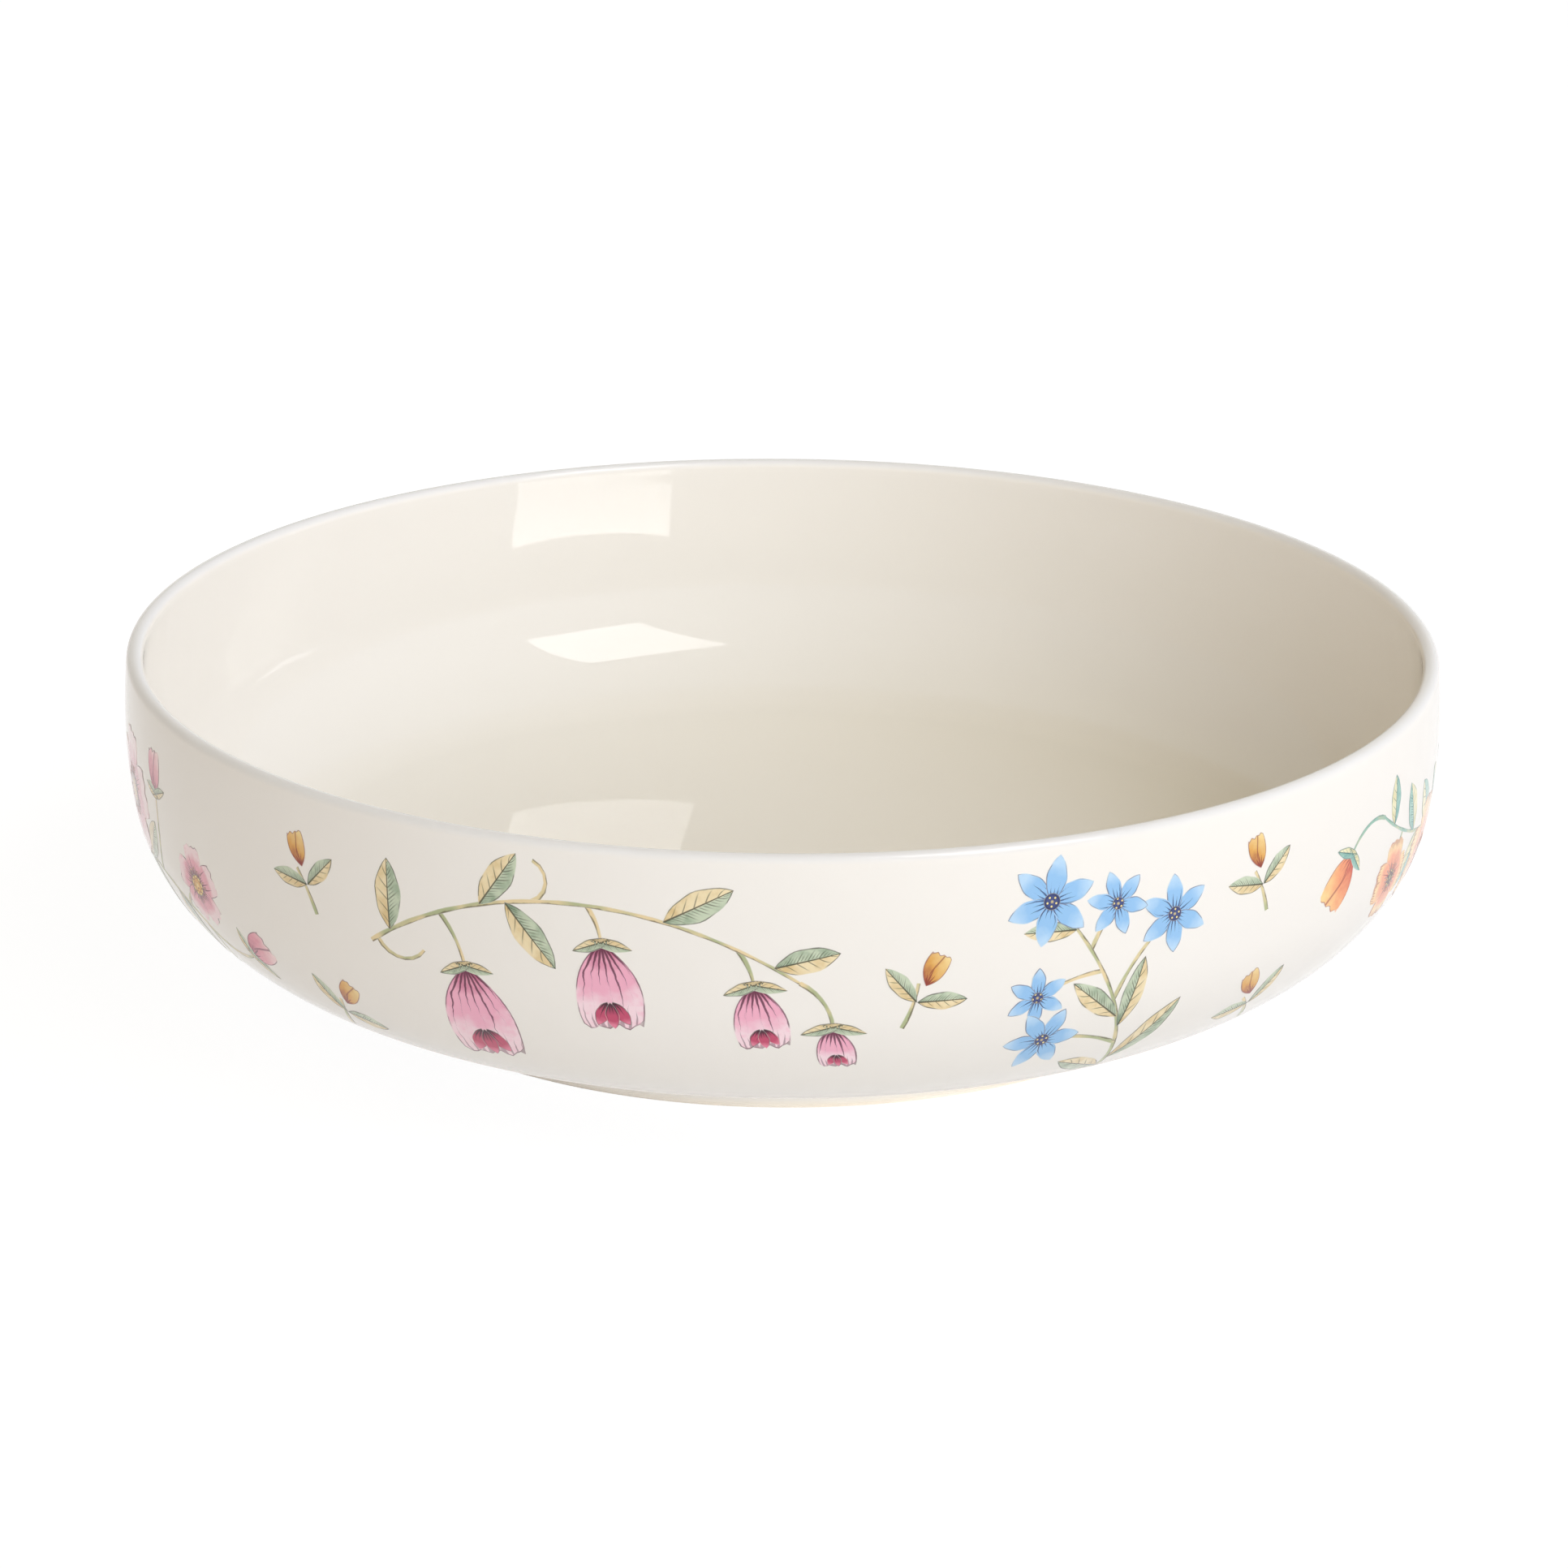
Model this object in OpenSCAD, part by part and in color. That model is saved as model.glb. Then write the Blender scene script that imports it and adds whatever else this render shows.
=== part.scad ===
// Low porcelain serving bowl on a turned foot ring: one fired clay body, a glassy glaze over all
// of it but the tip of the foot, and flower sprays in fired enamel colours round the outer wall.
// +Z is up, the origin is at the middle of the foot's resting plane.

/* [Bowl] */
// Diameter over the glaze where the wall is widest
bowl_d = 280; // [270:1:300]
// Height from the table to the top of the lip
bowl_h = 69.5; // [67:0.5:74]
// Height at which the wall is widest
belly_h = 54.5; // [52:0.5:57]
// Radius of the long arc of the outer wall
wall_arc_r = 112; // [106:1:120]
// Radius of the turn between the wall and the base
turn_arc_r = 34.5; // [33:0.5:36]
// Radius of the shallow dish of the base
base_arc_r = 900; // [800:10:1100]
// Thickness of the wall and floor over the glaze
wall_t = 3.5; // [3:0.1:4]
// Height of the underside above the table, at the middle
underside_h = 3.2; // [2.8:0.1:3.6]

/* [Foot ring] */
// Diameter of the foot ring over the glaze
foot_d = 193; // [186:1:198]
// Width of the foot ring over the glaze
foot_w = 4.6; // [4.2:0.1:6]
// Radius of the rounding at both sides of the foot's tip
foot_tip_r = 1; // [0.6:0.1:1.2]
// Radius of the fillets where the foot leaves the underside
foot_fillet_r = 2.5; // [2:0.1:3]
// Height to which the tip of the foot is left without glaze
bare_tip_h = 1; // [0.6:0.1:1.4]

/* [Glaze and enamel] */
// Thickness of the glaze
glaze_t = 0.25; // [0.2:0.05:0.3]
// Height that the fired enamel colours stand above the glaze
enamel_t = 0.1; // [0.06:0.01:0.14]

/* [Flower sprays] */
// Height of the middle of the sprays above the table
spray_h = 40; // [39:0.5:41]
// How often each spray is repeated round the bowl
spray_repeats = 2; // [1:1:2]
// Size of the sprays on the wall against their flat drawings
spray_scale = 1.2; // [1.1:0.05:1.2]
// Width of the printed stems
stem_w = 0.9; // [0.8:0.1:1.2]
// Length of one petal of the large rose, in the drawing
rose_petal = 11.5; // [10.5:0.5:12]
// Length of one petal of the largest star flower, in the drawing
star_petal = 7.5; // [7:0.5:8]
// Length of the largest bellflower's cup, in the drawing
bell_cup = 18; // [16.5:0.5:18.5]
// Length of one petal of the large poppy, in the drawing
poppy_petal = 12; // [11:0.5:12.5]

/* [Hidden] */

clay = [0.93, 0.90, 0.84];
glaze = [0.97, 0.95, 0.91];
rose_pink = [0.84, 0.55, 0.55];
ochre = [0.85, 0.68, 0.38];
sage = [0.66, 0.69, 0.50];
sky_blue = [0.55, 0.72, 0.88];
plum = [0.72, 0.30, 0.48];
deep_plum = [0.42, 0.12, 0.28];
coral = [0.93, 0.56, 0.40];
ink = [0.25, 0.20, 0.24];
teal = [0.42, 0.62, 0.58];

// Height of the lower edge of the band that may carry enamel
enamel_low_h = 14;
revolve_fn = 360;
arc_fn = 240;
motif_fn = 64;
// The dish of the base is so flat that its circle needs more steps than the others.
base_fn = 2400;

// Lowest and highest point that two circles share, as a pair of points.
function meet(c1, r1, c2, r2) =
    let (d = norm(c2 - c1),
         along = (r1 * r1 - r2 * r2 + d * d) / (2 * d),
         off = sqrt(r1 * r1 - along * along),
         dir = (c2 - c1) / d,
         mid = c1 + along * dir)
    [mid + off * [dir.y, -dir.x], mid - off * [dir.y, -dir.x]];
function heading(from, to) = atan2(to.y - from.y, to.x - from.x);
function polar(r, a) = r * [cos(a), sin(a)];

// The outer profile is three arcs, each tangent to the next: wall, turn and base. The centres of
// the wall and the base are given, and the turn's centre lies at the right distance from both.
bowl_r = bowl_d / 2;
wall_c = [bowl_r - wall_arc_r, belly_h];
base_c = [0, underside_h + base_arc_r];
turn_c = meet(wall_c, wall_arc_r - turn_arc_r, base_c, base_arc_r - turn_arc_r)[0];
wall_turn_a = heading(wall_c, turn_c);
turn_base_a = heading(base_c, turn_c);
lip_r = wall_t / 2;
lip_a = asin((bowl_h - lip_r - belly_h) / (wall_arc_r - lip_r));
lip_c = wall_c + polar(wall_arc_r - lip_r, lip_a);

foot_r = foot_d / 2;
foot_in_r = foot_r - foot_w;
foot_root_h = underside_h + base_arc_r - sqrt(pow(base_arc_r, 2) - pow(foot_in_r, 2)) + wall_t / 2;

// The space inside the outer profile moved inwards by the given depth, open at the top. The three
// parts overlap, and the cuts run through the points where one arc passes into the next.
module filled_profile(depth) {
    wall_joint = wall_c + polar(wall_arc_r - depth, wall_turn_a);
    base_joint = base_c + polar(base_arc_r - depth, turn_base_a);
    intersection() {
        translate(wall_c) circle(r = wall_arc_r - depth, $fn = arc_fn);
        translate([0, wall_joint.y]) square([bowl_r + enamel_t, bowl_h]);
    }
    translate(turn_c) circle(r = turn_arc_r - depth, $fn = arc_fn);
    intersection() {
        translate(base_c) circle(r = base_arc_r - depth, $fn = base_fn);
        square([base_joint.x, turn_c.y]);
    }
}

// Section of the wall and floor, with the lip rounded. The inset is taken off all faces.
module wall_section(inset) {
    difference() {
        filled_profile(inset);
        filled_profile(wall_t - inset);
        polygon([lip_c - polar(wall_t, lip_a), lip_c + polar(wall_t, lip_a),
                 [bowl_r, 2 * bowl_h], [turn_c.x, 2 * bowl_h]]);
    }
    translate(lip_c) circle(r = lip_r - inset, $fn = arc_fn);
}

// Fillet between the underside and a foot face at radius r, on the side that the sign gives.
module foot_fillet(r, side, inset) {
    fillet_r = foot_fillet_r - inset;
    c = [r + side * fillet_r,
         base_c.y - sqrt(pow(base_arc_r - inset + fillet_r, 2) - pow(r + side * fillet_r, 2))];
    touch = c + polar(fillet_r, heading(c, base_c));
    buried = r - side * foot_tip_r;
    difference() {
        translate([min(touch.x, buried), c.y]) square([abs(touch.x - buried), fillet_r + lip_r]);
        translate(c) circle(r = fillet_r, $fn = arc_fn);
    }
}

// Section of the foot ring with its rounded tip and its two fillets.
module foot_section(inset) {
    inner = foot_in_r + inset;
    outer = foot_r - inset;
    translate([inner, foot_tip_r]) square([outer - inner, foot_root_h - foot_tip_r]);
    translate([inner + foot_tip_r, 0]) square([outer - inner - 2 * foot_tip_r, foot_root_h]);
    for (r = [inner + foot_tip_r, outer - foot_tip_r])
        translate([r, foot_tip_r]) circle(r = foot_tip_r, $fn = arc_fn);
    foot_fillet(outer, 1, inset);
    foot_fillet(inner, -1, inset);
}

module bowl_section(inset) {
    wall_section(inset);
    foot_section(inset);
}

module porcelain_body()
    color(clay) rotate_extrude($fn = revolve_fn) bowl_section(glaze_t);

// The glaze stops a little above the tip of the foot, which is wiped dry before the firing.
module glaze_coat()
    color(glaze) rotate_extrude($fn = revolve_fn) difference() {
        bowl_section(0);
        bowl_section(glaze_t);
        square([bowl_r, bare_tip_h]);
    }

// The thin layer outside the glaze in which the enamels lie, from the turn up to the lip.
module enamel_layer()
    rotate_extrude($fn = revolve_fn) intersection() {
        difference() {
            filled_profile(-enamel_t);
            filled_profile(0);
        }
        translate([turn_c.x, enamel_low_h]) square([bowl_r, lip_c.y - enamel_low_h]);
    }

// Lays a flat drawing on the wall, once for each repeat. The drawing's own X runs round the bowl
// and its Y runs up from the middle of the band.
module printed(azimuth)
    intersection() {
        enamel_layer();
        for (turn = [0 : spray_repeats - 1])
            rotate([0, 0, azimuth + turn * 360 / spray_repeats])
                translate([bowl_r / 2, 0, spray_h])
                    rotate([90, 0, 90]) linear_extrude(bowl_r) scale(spray_scale) children();
    }

// --- flat shapes, all growing from the origin along +Y ---

// Pointed oval between two equal arcs.
module oval(len, wid) {
    r = (len * len + wid * wid) / (4 * wid);
    translate([0, len / 2]) intersection_for (side = [-1, 1])
        translate([side * (r - wid / 2), 0]) circle(r = r, $fn = motif_fn);
}

// Petal that is as broad as an oval a third longer, with its end rounded about the origin.
module round_petal(len, wid)
    intersection() {
        oval(len * 4 / 3, wid);
        circle(r = len, $fn = motif_fn);
    }

module at(place) translate([place.x, place.y]) rotate(place[2]) children();

// A stem is [x, y, heading, radius, sweep]: it starts at x, y in the heading's direction, where 0
// is up and a positive angle is to the left, and turns through the sweep.
module stem(s) {
    far = 1.5 * s[3];
    at(s) mirror([s[4] > 0 ? 0 : 1, 0]) translate([-s[3], 0]) intersection() {
        difference() {
            circle(r = s[3] + stem_w / 2, $fn = motif_fn);
            circle(r = s[3] - stem_w / 2, $fn = motif_fn);
        }
        polygon([[0, 0], [far, 0], polar(far, abs(s[4]) / 2), polar(far, abs(s[4]))]);
    }
}

// Place and heading at a part of a stem's way, from 0 at its start to 1 at its tip.
function along(s, part) =
    let (turn = part * s[4],
         across = s[3] * (cos(turn) - 1) * sign(s[4]),
         ahead = s[3] * sin(abs(turn)))
    [s.x + across * cos(s[2]) - ahead * sin(s[2]),
     s.y + across * sin(s[2]) + ahead * cos(s[2]),
     s[2] + turn];

// Stem that leaves another one at a part of its way, leaning from its heading.
function branch(s, part, lean, r, sweep) =
    let (from = along(s, part)) [from.x, from.y, from[2] + lean, r, sweep];

// A leaf is [part, lean, length, width]: where it leaves its stem, how far it leans, and its size.
module leaves(s, list)
    for (leaf = list) at(along(s, leaf[0])) rotate(leaf[1]) oval(leaf[2], leaf[3]);

module flower(petals, start = 0)
    for (i = [0 : petals - 1]) rotate(start + i * 360 / petals) children();

// The sepals at the base of each bud or bell: two long ones up its sides, with their short tails
// across the stalk.
module sepals(stalks)
    for (stalk = stalks, lean = [-74, 74])
        at(along(stalk, 1)) rotate(lean) translate([0, -1.8]) oval(6.8, 2.1);

// --- the rose spray: a large rose, a small one and two buds on an arching branch ---
rose_azimuth = 203;
rose_eye_r = 3;
rose_branch = [-33, -15, -52, 50, -66];
rose_stalks = [branch(rose_branch, 0.36, 50, 30, 22), branch(rose_branch, 0.86, 72, 20, -28)];
rose_sizes = [1, 0.62];
rose_bud_stalks = [branch(rose_branch, 0.66, 66, 26, 34), branch(rose_branch, 1, 0, 12, 60)];
rose_tendril = branch(rose_branch, 0.95, -20, 5, -140);
rose_leaves = [[0.03, 20, 12, 5.4], [0.2, -55, 14, 6.5], [0.5, -50, 15, 6.5], [0.56, 52, 11, 5],
               [0.78, -48, 12, 5.6]];

module rose_flowers_2d() {
    for (i = [0 : len(rose_stalks) - 1])
        at(along(rose_stalks[i], 1)) scale(rose_sizes[i]) flower(5) round_petal(rose_petal, 9.5);
    for (stalk = rose_bud_stalks) at(along(stalk, 1)) round_petal(8, 6);
}

module rose_eye_2d()
    for (i = [0 : len(rose_stalks) - 1])
        at(along(rose_stalks[i], 1)) circle(r = rose_sizes[i] * rose_eye_r, $fn = motif_fn);

module rose_foliage_2d() difference() {
    union() {
        for (s = concat([rose_branch, rose_tendril], rose_stalks, rose_bud_stalks)) stem(s);
        leaves(rose_branch, rose_leaves);
        sepals(rose_bud_stalks);
    }
    rose_flowers_2d();
    rose_eye_2d();
}

module rose_petals() color(rose_pink) printed(rose_azimuth) difference() {
    rose_flowers_2d();
    rose_eye_2d();
}
module rose_eyes() color(ochre) printed(rose_azimuth) rose_eye_2d();
module rose_foliage() color(sage) printed(rose_azimuth) rose_foliage_2d();

// --- the star spray: five blue six-petalled stars on a forked stem with narrow leaves ---
star_azimuth = 296;
star_eye_r = 1.4;
star_stem = [6, -21, 6, 62, 36];
star_stalks = [branch(star_stem, 1, 0, 14, 6), branch(star_stem, 0.46, -40, 24, -40),
               branch(star_stem, 0.2, 44, 24, 36), branch(star_stem, 0.74, -52, 20, -24),
               branch(star_stem, 0.62, 62, 22, 30)];
star_sizes = [1, 0.9, 0.85, 0.75, 0.7];
star_leaves = [[0.08, -48, 15, 4.4], [0.36, 30, 12, 4], [0.3, -30, 13, 4], [0.86, 50, 9, 3.4],
               [0.02, 60, 11, 3.8]];

module star_flowers_2d()
    for (i = [0 : len(star_stalks) - 1])
        at(along(star_stalks[i], 1)) scale(star_sizes[i]) flower(6) oval(star_petal, 3.6);

module star_eye_2d()
    for (i = [0 : len(star_stalks) - 1])
        at(along(star_stalks[i], 1)) circle(r = star_sizes[i] * star_eye_r, $fn = motif_fn);

module star_foliage_2d() difference() {
    union() {
        for (s = concat([star_stem], star_stalks)) stem(s);
        leaves(star_stem, star_leaves);
    }
    star_flowers_2d();
    star_eye_2d();
}

module star_petals() color(sky_blue) printed(star_azimuth) difference() {
    star_flowers_2d();
    star_eye_2d();
}
module star_eyes() color(ink) printed(star_azimuth) star_eye_2d();
module star_foliage() color(sage) printed(star_azimuth) star_foliage_2d();

// --- the bell spray: four plum bellflowers that hang from an arched branch ---
bell_azimuth = 253;
bell_branch = [-33, 3, -52, 58, -74];
bell_stalks = [branch(bell_branch, 0.2, -70, 16, -34), branch(bell_branch, 0.54, -52, 12, -30),
               branch(bell_branch, 0.86, -28, 12, -30), branch(bell_branch, 1, 6, 9, -60)];
bell_sizes = [1, 0.86, 0.66, 0.46];
bell_tendrils = [branch(bell_branch, 0.42, 12, 3.5, 140), branch(bell_branch, 0.02, -100, 5, 120)];
bell_leaves = [[0.06, 58, 12, 5], [0.3, 40, 11, 4.8], [0.36, -62, 13, 5], [0.7, 42, 12, 5],
               [0.94, 46, 10, 4.4]];

module bell_flowers_2d()
    for (i = [0 : len(bell_stalks) - 1])
        at(along(bell_stalks[i], 1)) scale(bell_sizes[i]) round_petal(bell_cup, 13);

module bell_lining_2d()
    for (i = [0 : len(bell_stalks) - 1])
        at(along(bell_stalks[i], 1)) scale(bell_sizes[i]) translate([0, bell_cup * 0.6])
            for (lean = [-28, 0, 28]) rotate(lean) translate([0, 1]) oval(bell_cup * 0.4, 2.8);

module bell_foliage_2d() difference() {
    union() {
        for (s = concat([bell_branch], bell_stalks, bell_tendrils)) stem(s);
        leaves(bell_branch, bell_leaves);
        sepals(bell_stalks);
    }
    bell_flowers_2d();
}

module bell_petals() color(plum) printed(bell_azimuth) difference() {
    bell_flowers_2d();
    bell_lining_2d();
}
module bell_linings() color(deep_plum) printed(bell_azimuth) intersection() {
    bell_flowers_2d();
    bell_lining_2d();
}
module bell_foliage() color(sage) printed(bell_azimuth) bell_foliage_2d();

// --- the poppy spray: a large poppy, a small one and a bud, among paired teal leaflets ---
poppy_azimuth = 339;
poppy_eye_r = 2.6;
poppy_branch = [31, 4, 108, 60, -52];
poppy_stalks = [branch(poppy_branch, 0.4, 66, 34, 12), branch(poppy_branch, 0.8, 78, 16, 30)];
poppy_sizes = [1, 0.6];
poppy_bud_stalk = branch(poppy_branch, 1, 8, 9, 80);
poppy_tendril = branch(poppy_branch, 0.06, -118, 5, -130);
poppy_leaves = [[0.02, -52, 11, 5], [0.14, 50, 11, 5], [0.2, -52, 12, 5.2], [0.44, -50, 12, 5.4],
                [0.66, -50, 11, 5], [0.6, 60, 11, 5], [0.9, -60, 9, 4.2]];

module poppy_flowers_2d() {
    for (i = [0 : len(poppy_stalks) - 1])
        at(along(poppy_stalks[i], 1)) scale(poppy_sizes[i])
            flower(4) round_petal(poppy_petal, 12.5);
    at(along(poppy_bud_stalk, 1)) round_petal(10, 8);
}

module poppy_eye_2d()
    for (i = [0 : len(poppy_stalks) - 1])
        at(along(poppy_stalks[i], 1)) circle(r = poppy_sizes[i] * poppy_eye_r, $fn = motif_fn);

module poppy_foliage_2d() difference() {
    union() {
        for (s = concat([poppy_branch, poppy_bud_stalk, poppy_tendril], poppy_stalks)) stem(s);
        leaves(poppy_branch, poppy_leaves);
        sepals([poppy_bud_stalk]);
    }
    poppy_flowers_2d();
    poppy_eye_2d();
}

module poppy_petals() color(coral) printed(poppy_azimuth) difference() {
    poppy_flowers_2d();
    poppy_eye_2d();
}
module poppy_eyes() color(ink) printed(poppy_azimuth) poppy_eye_2d();
module poppy_foliage() color(teal) printed(poppy_azimuth) poppy_foliage_2d();

// --- the small sprigs that fill the gaps: a bud over two leaves ---
sprig_places = [[229.5, 12, 20], [231.5, -12, -35], [281, 3, -25], [310.5, 13, 15], [312.5, -11, 30],
                [361.5, 12, -20], [363, -12, 25]];

module sprig_bud_2d() round_petal(6, 4);

module sprig_leaves_2d() difference() {
    union() {
        stem([0, -8, 0, 26, 18]);
        for (side = [-1, 1]) translate([0, -3]) rotate(side * 65) oval(8, 3.2);
    }
    sprig_bud_2d();
}

module sprigs()
    for (place = sprig_places)
        printed(place[0]) translate([0, place[1]]) rotate(place[2]) children();

module sprig_buds() color(ochre) sprigs() sprig_bud_2d();
module sprig_foliage() color(sage) sprigs() sprig_leaves_2d();

porcelain_body();
glaze_coat();
rose_petals();
rose_eyes();
rose_foliage();
star_petals();
star_eyes();
star_foliage();
bell_petals();
bell_linings();
bell_foliage();
poppy_petals();
poppy_eyes();
poppy_foliage();
sprig_buds();
sprig_foliage();
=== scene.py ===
"""Looks of a low porcelain serving bowl: clear cream glaze, a bare foot and fired flower sprays.

The bowl is turned from one profile of three arcs. The glaze and the clay are spun from sections of
that profile, and every printed flower, leaf and stem is a thin patch of enamel laid on its wall.
"""

import logging
import math
from dataclasses import dataclass, field
from enum import Enum
from functools import cached_property
from typing import Any, Callable, Iterable, Sequence

import bmesh
import bpy
from mathutils import Matrix, Vector

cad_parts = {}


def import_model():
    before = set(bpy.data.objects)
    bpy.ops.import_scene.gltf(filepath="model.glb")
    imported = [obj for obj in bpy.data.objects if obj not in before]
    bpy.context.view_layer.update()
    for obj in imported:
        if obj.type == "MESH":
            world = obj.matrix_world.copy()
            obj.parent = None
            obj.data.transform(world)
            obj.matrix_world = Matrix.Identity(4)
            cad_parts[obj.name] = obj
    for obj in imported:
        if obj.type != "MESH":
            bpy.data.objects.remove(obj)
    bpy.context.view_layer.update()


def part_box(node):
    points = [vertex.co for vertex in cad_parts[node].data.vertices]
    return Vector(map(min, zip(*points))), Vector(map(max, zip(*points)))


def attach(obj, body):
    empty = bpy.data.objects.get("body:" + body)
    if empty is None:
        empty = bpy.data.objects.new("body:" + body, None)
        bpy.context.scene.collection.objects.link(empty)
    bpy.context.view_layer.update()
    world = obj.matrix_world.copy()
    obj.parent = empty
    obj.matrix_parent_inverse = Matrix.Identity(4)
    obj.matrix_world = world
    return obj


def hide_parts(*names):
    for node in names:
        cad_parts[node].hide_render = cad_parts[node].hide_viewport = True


LOG = logging.getLogger("serving_bowl")
MM = 0.001
ROOT_BODY = "root"
# A full round is spun as a sector that is doubled this often, which is far quicker.
SECTOR_DOUBLINGS = 4
# Each spray and sprig is printed this often round the bowl.
REPEATS = 2

Flat = tuple[float, float]
Colour = tuple[float, float, float, float]
Light = tuple[float, float, float]


def ink(red: int, green: int, blue: int) -> Colour:
    """Turns a display colour of 0 to 255 into a linear one.

    Args:
        red: Red part of the colour.
        green: Green part.
        blue: Blue part.

    Returns:
        The linear colour, opaque.
    """
    shares = (channel / 255 for channel in (red, green, blue))
    linear = [s / 12.92 if s <= 0.04045 else ((s + 0.055) / 1.055) ** 2.4 for s in shares]
    return (linear[0], linear[1], linear[2], 1.0)


# The glaze as it shows through thin colour, and the plain colour for a viewport.
GLAZE_SEEN = ink(241, 237, 228)
PREVIEW = ink(230, 226, 216)


# --- shader maths ---


def operator(operation: str, swapped: bool = False) -> "Callable[[Value, Value | float], Value]":
    """Makes the method of one Python operator on shader sockets.

    Args:
        operation: Blender's name of the operation.
        swapped: True where the socket is the second operand.

    Returns:
        A method that adds one Math node.
    """

    def method(value: "Value", other: "Value | float") -> "Value":
        """Adds the Math node."""
        pair = (other, value) if swapped else (value, other)
        return value.graph.node("ShaderNodeMath", {"operation": operation}, dict(enumerate(pair)))

    return method


class Value:
    """A shader socket on which sums are written as Python expressions."""

    def __init__(self, graph: "Graph", socket: bpy.types.NodeSocket) -> None:
        """Keeps the socket and the tree that it belongs to."""
        self.graph = graph
        self.socket = socket

    def maths(self, operation: str, *others: "Value | float") -> "Value":
        """Adds one Math node with this value as its first operand."""
        inputs = dict(enumerate((self, *others)))
        return self.graph.node("ShaderNodeMath", {"operation": operation}, inputs)

    __add__ = operator("ADD")
    __radd__ = operator("ADD", swapped=True)
    __sub__ = operator("SUBTRACT")
    __rsub__ = operator("SUBTRACT", swapped=True)
    __mul__ = operator("MULTIPLY")
    __rmul__ = operator("MULTIPLY", swapped=True)
    __truediv__ = operator("DIVIDE")
    __pow__ = operator("POWER")
    __gt__ = operator("GREATER_THAN")
    least = operator("MINIMUM")
    most = operator("MAXIMUM")

    def __abs__(self) -> "Value":
        """Size without its sign."""
        return self.maths("ABSOLUTE")

    def rise(self, low: "Value | float", high: "Value | float") -> "Value":
        """Goes smoothly from 0 at low to 1 at high.

        Args:
            low: Value at which the rise starts.
            high: Value at which it ends.

        Returns:
            A share from 0 to 1.
        """
        return self.graph.node(
            "ShaderNodeMapRange",
            {"interpolation_type": "SMOOTHSTEP"},
            {"Value": self, "From Min": low, "From Max": high},
        )

    def fall(self, low: "Value | float", high: "Value | float") -> "Value":
        """Goes smoothly from 1 at low to 0 at high."""
        return 1 - self.rise(low, high)


class Graph:
    """The node tree of one material, of a lamp or of the world."""

    def __init__(self, owner: bpy.types.Material | bpy.types.Light | bpy.types.World) -> None:
        """Empties the owner's node tree.

        Args:
            owner: What the nodes belong to.
        """
        owner.use_nodes = True
        self.tree = owner.node_tree
        self.tree.nodes.clear()

    def node(
        self,
        kind: str,
        settings: dict[str, Any] | None = None,
        inputs: dict[int | str, Any] | None = None,
        output: int | str = 0,
    ) -> Value:
        """Adds a node, sets it up and links or fills its inputs.

        Args:
            kind: Blender's name of the node type.
            settings: What is set on the node first; "stops" holds a ramp's places and colours.
            inputs: A value or a link for each named or numbered input socket.
            output: The output socket that is handed back.

        Returns:
            The chosen output socket.
        """
        made = self.tree.nodes.new(kind)
        for name, setting in (settings or {}).items():
            if name == "stops":
                self.set_stops(made.color_ramp, setting)
            else:
                setattr(made, name, setting)
        for key, given in (inputs or {}).items():
            if isinstance(given, Value):
                self.tree.links.new(given.socket, made.inputs[key])
            else:
                made.inputs[key].default_value = given
        return Value(self, made.outputs[output] if made.outputs else None)

    @staticmethod
    def set_stops(ramp: bpy.types.ColorRamp, stops: Sequence[tuple[float, Colour]]) -> None:
        """Gives a colour ramp its places and colours.

        Args:
            ramp: The ramp of a new node.
            stops: Place and colour of each stop.
        """
        while len(ramp.elements) < len(stops):
            ramp.elements.new(1.0)
        for element, (place, colour) in zip(ramp.elements, stops):
            element.position = place
            element.color = colour

    def ramp(self, value: Value, *stops: tuple[float, Colour]) -> Value:
        """Colour that changes with a value."""
        return self.node("ShaderNodeValToRGB", {"stops": stops}, {0: value})

    def mix(self, share: Value | float, below: Any, above: Any) -> Value:
        """Colour above laid over the colour below, as strong as the share says."""
        return self.node("ShaderNodeMix", {"data_type": "RGBA"}, {0: share, 6: below, 7: above}, 2)

    def split(self, vector: Value) -> tuple[Value, Value, Value]:
        """The three parts of a vector."""
        parts = self.node("ShaderNodeSeparateXYZ", None, {0: vector}, 0).socket.node
        return tuple(Value(self, parts.outputs[i]) for i in range(3))

    def vector(self, x: Value | float, y: Value | float, z: Value | float = 0.0) -> Value:
        """A vector of three parts."""
        return self.node("ShaderNodeCombineXYZ", None, {0: x, 1: y, 2: z})

    def attribute(self, name: str) -> Value:
        """A vector that the mesh carries at its points."""
        return self.node("ShaderNodeAttribute", {"attribute_name": name}, None, "Vector")

    def cloud(self, vector: Value, scale: float, detail: float = 2.0) -> Value:
        """Soft noise round 0.5.

        Args:
            vector: Coordinates that the noise reads.
            scale: Its scale.
            detail: How many finer layers it has.

        Returns:
            The noise.
        """
        return self.node(
            "ShaderNodeTexNoise", None, {"Vector": vector, "Scale": scale, "Detail": detail}
        )

    def chance(self, seed: Value) -> Value:
        """A number from 0 to 1 that is fixed for each seed."""
        return self.node("ShaderNodeTexWhiteNoise", {"noise_dimensions": "1D"}, {"W": seed})

    def bump(self, height: Value, strength: float, distance: float) -> Value:
        """Normals of a surface with small heights on it."""
        inputs = {"Strength": strength, "Distance": distance, "Height": height}
        return self.node("ShaderNodeBump", None, inputs)


# --- finishes ---


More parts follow.
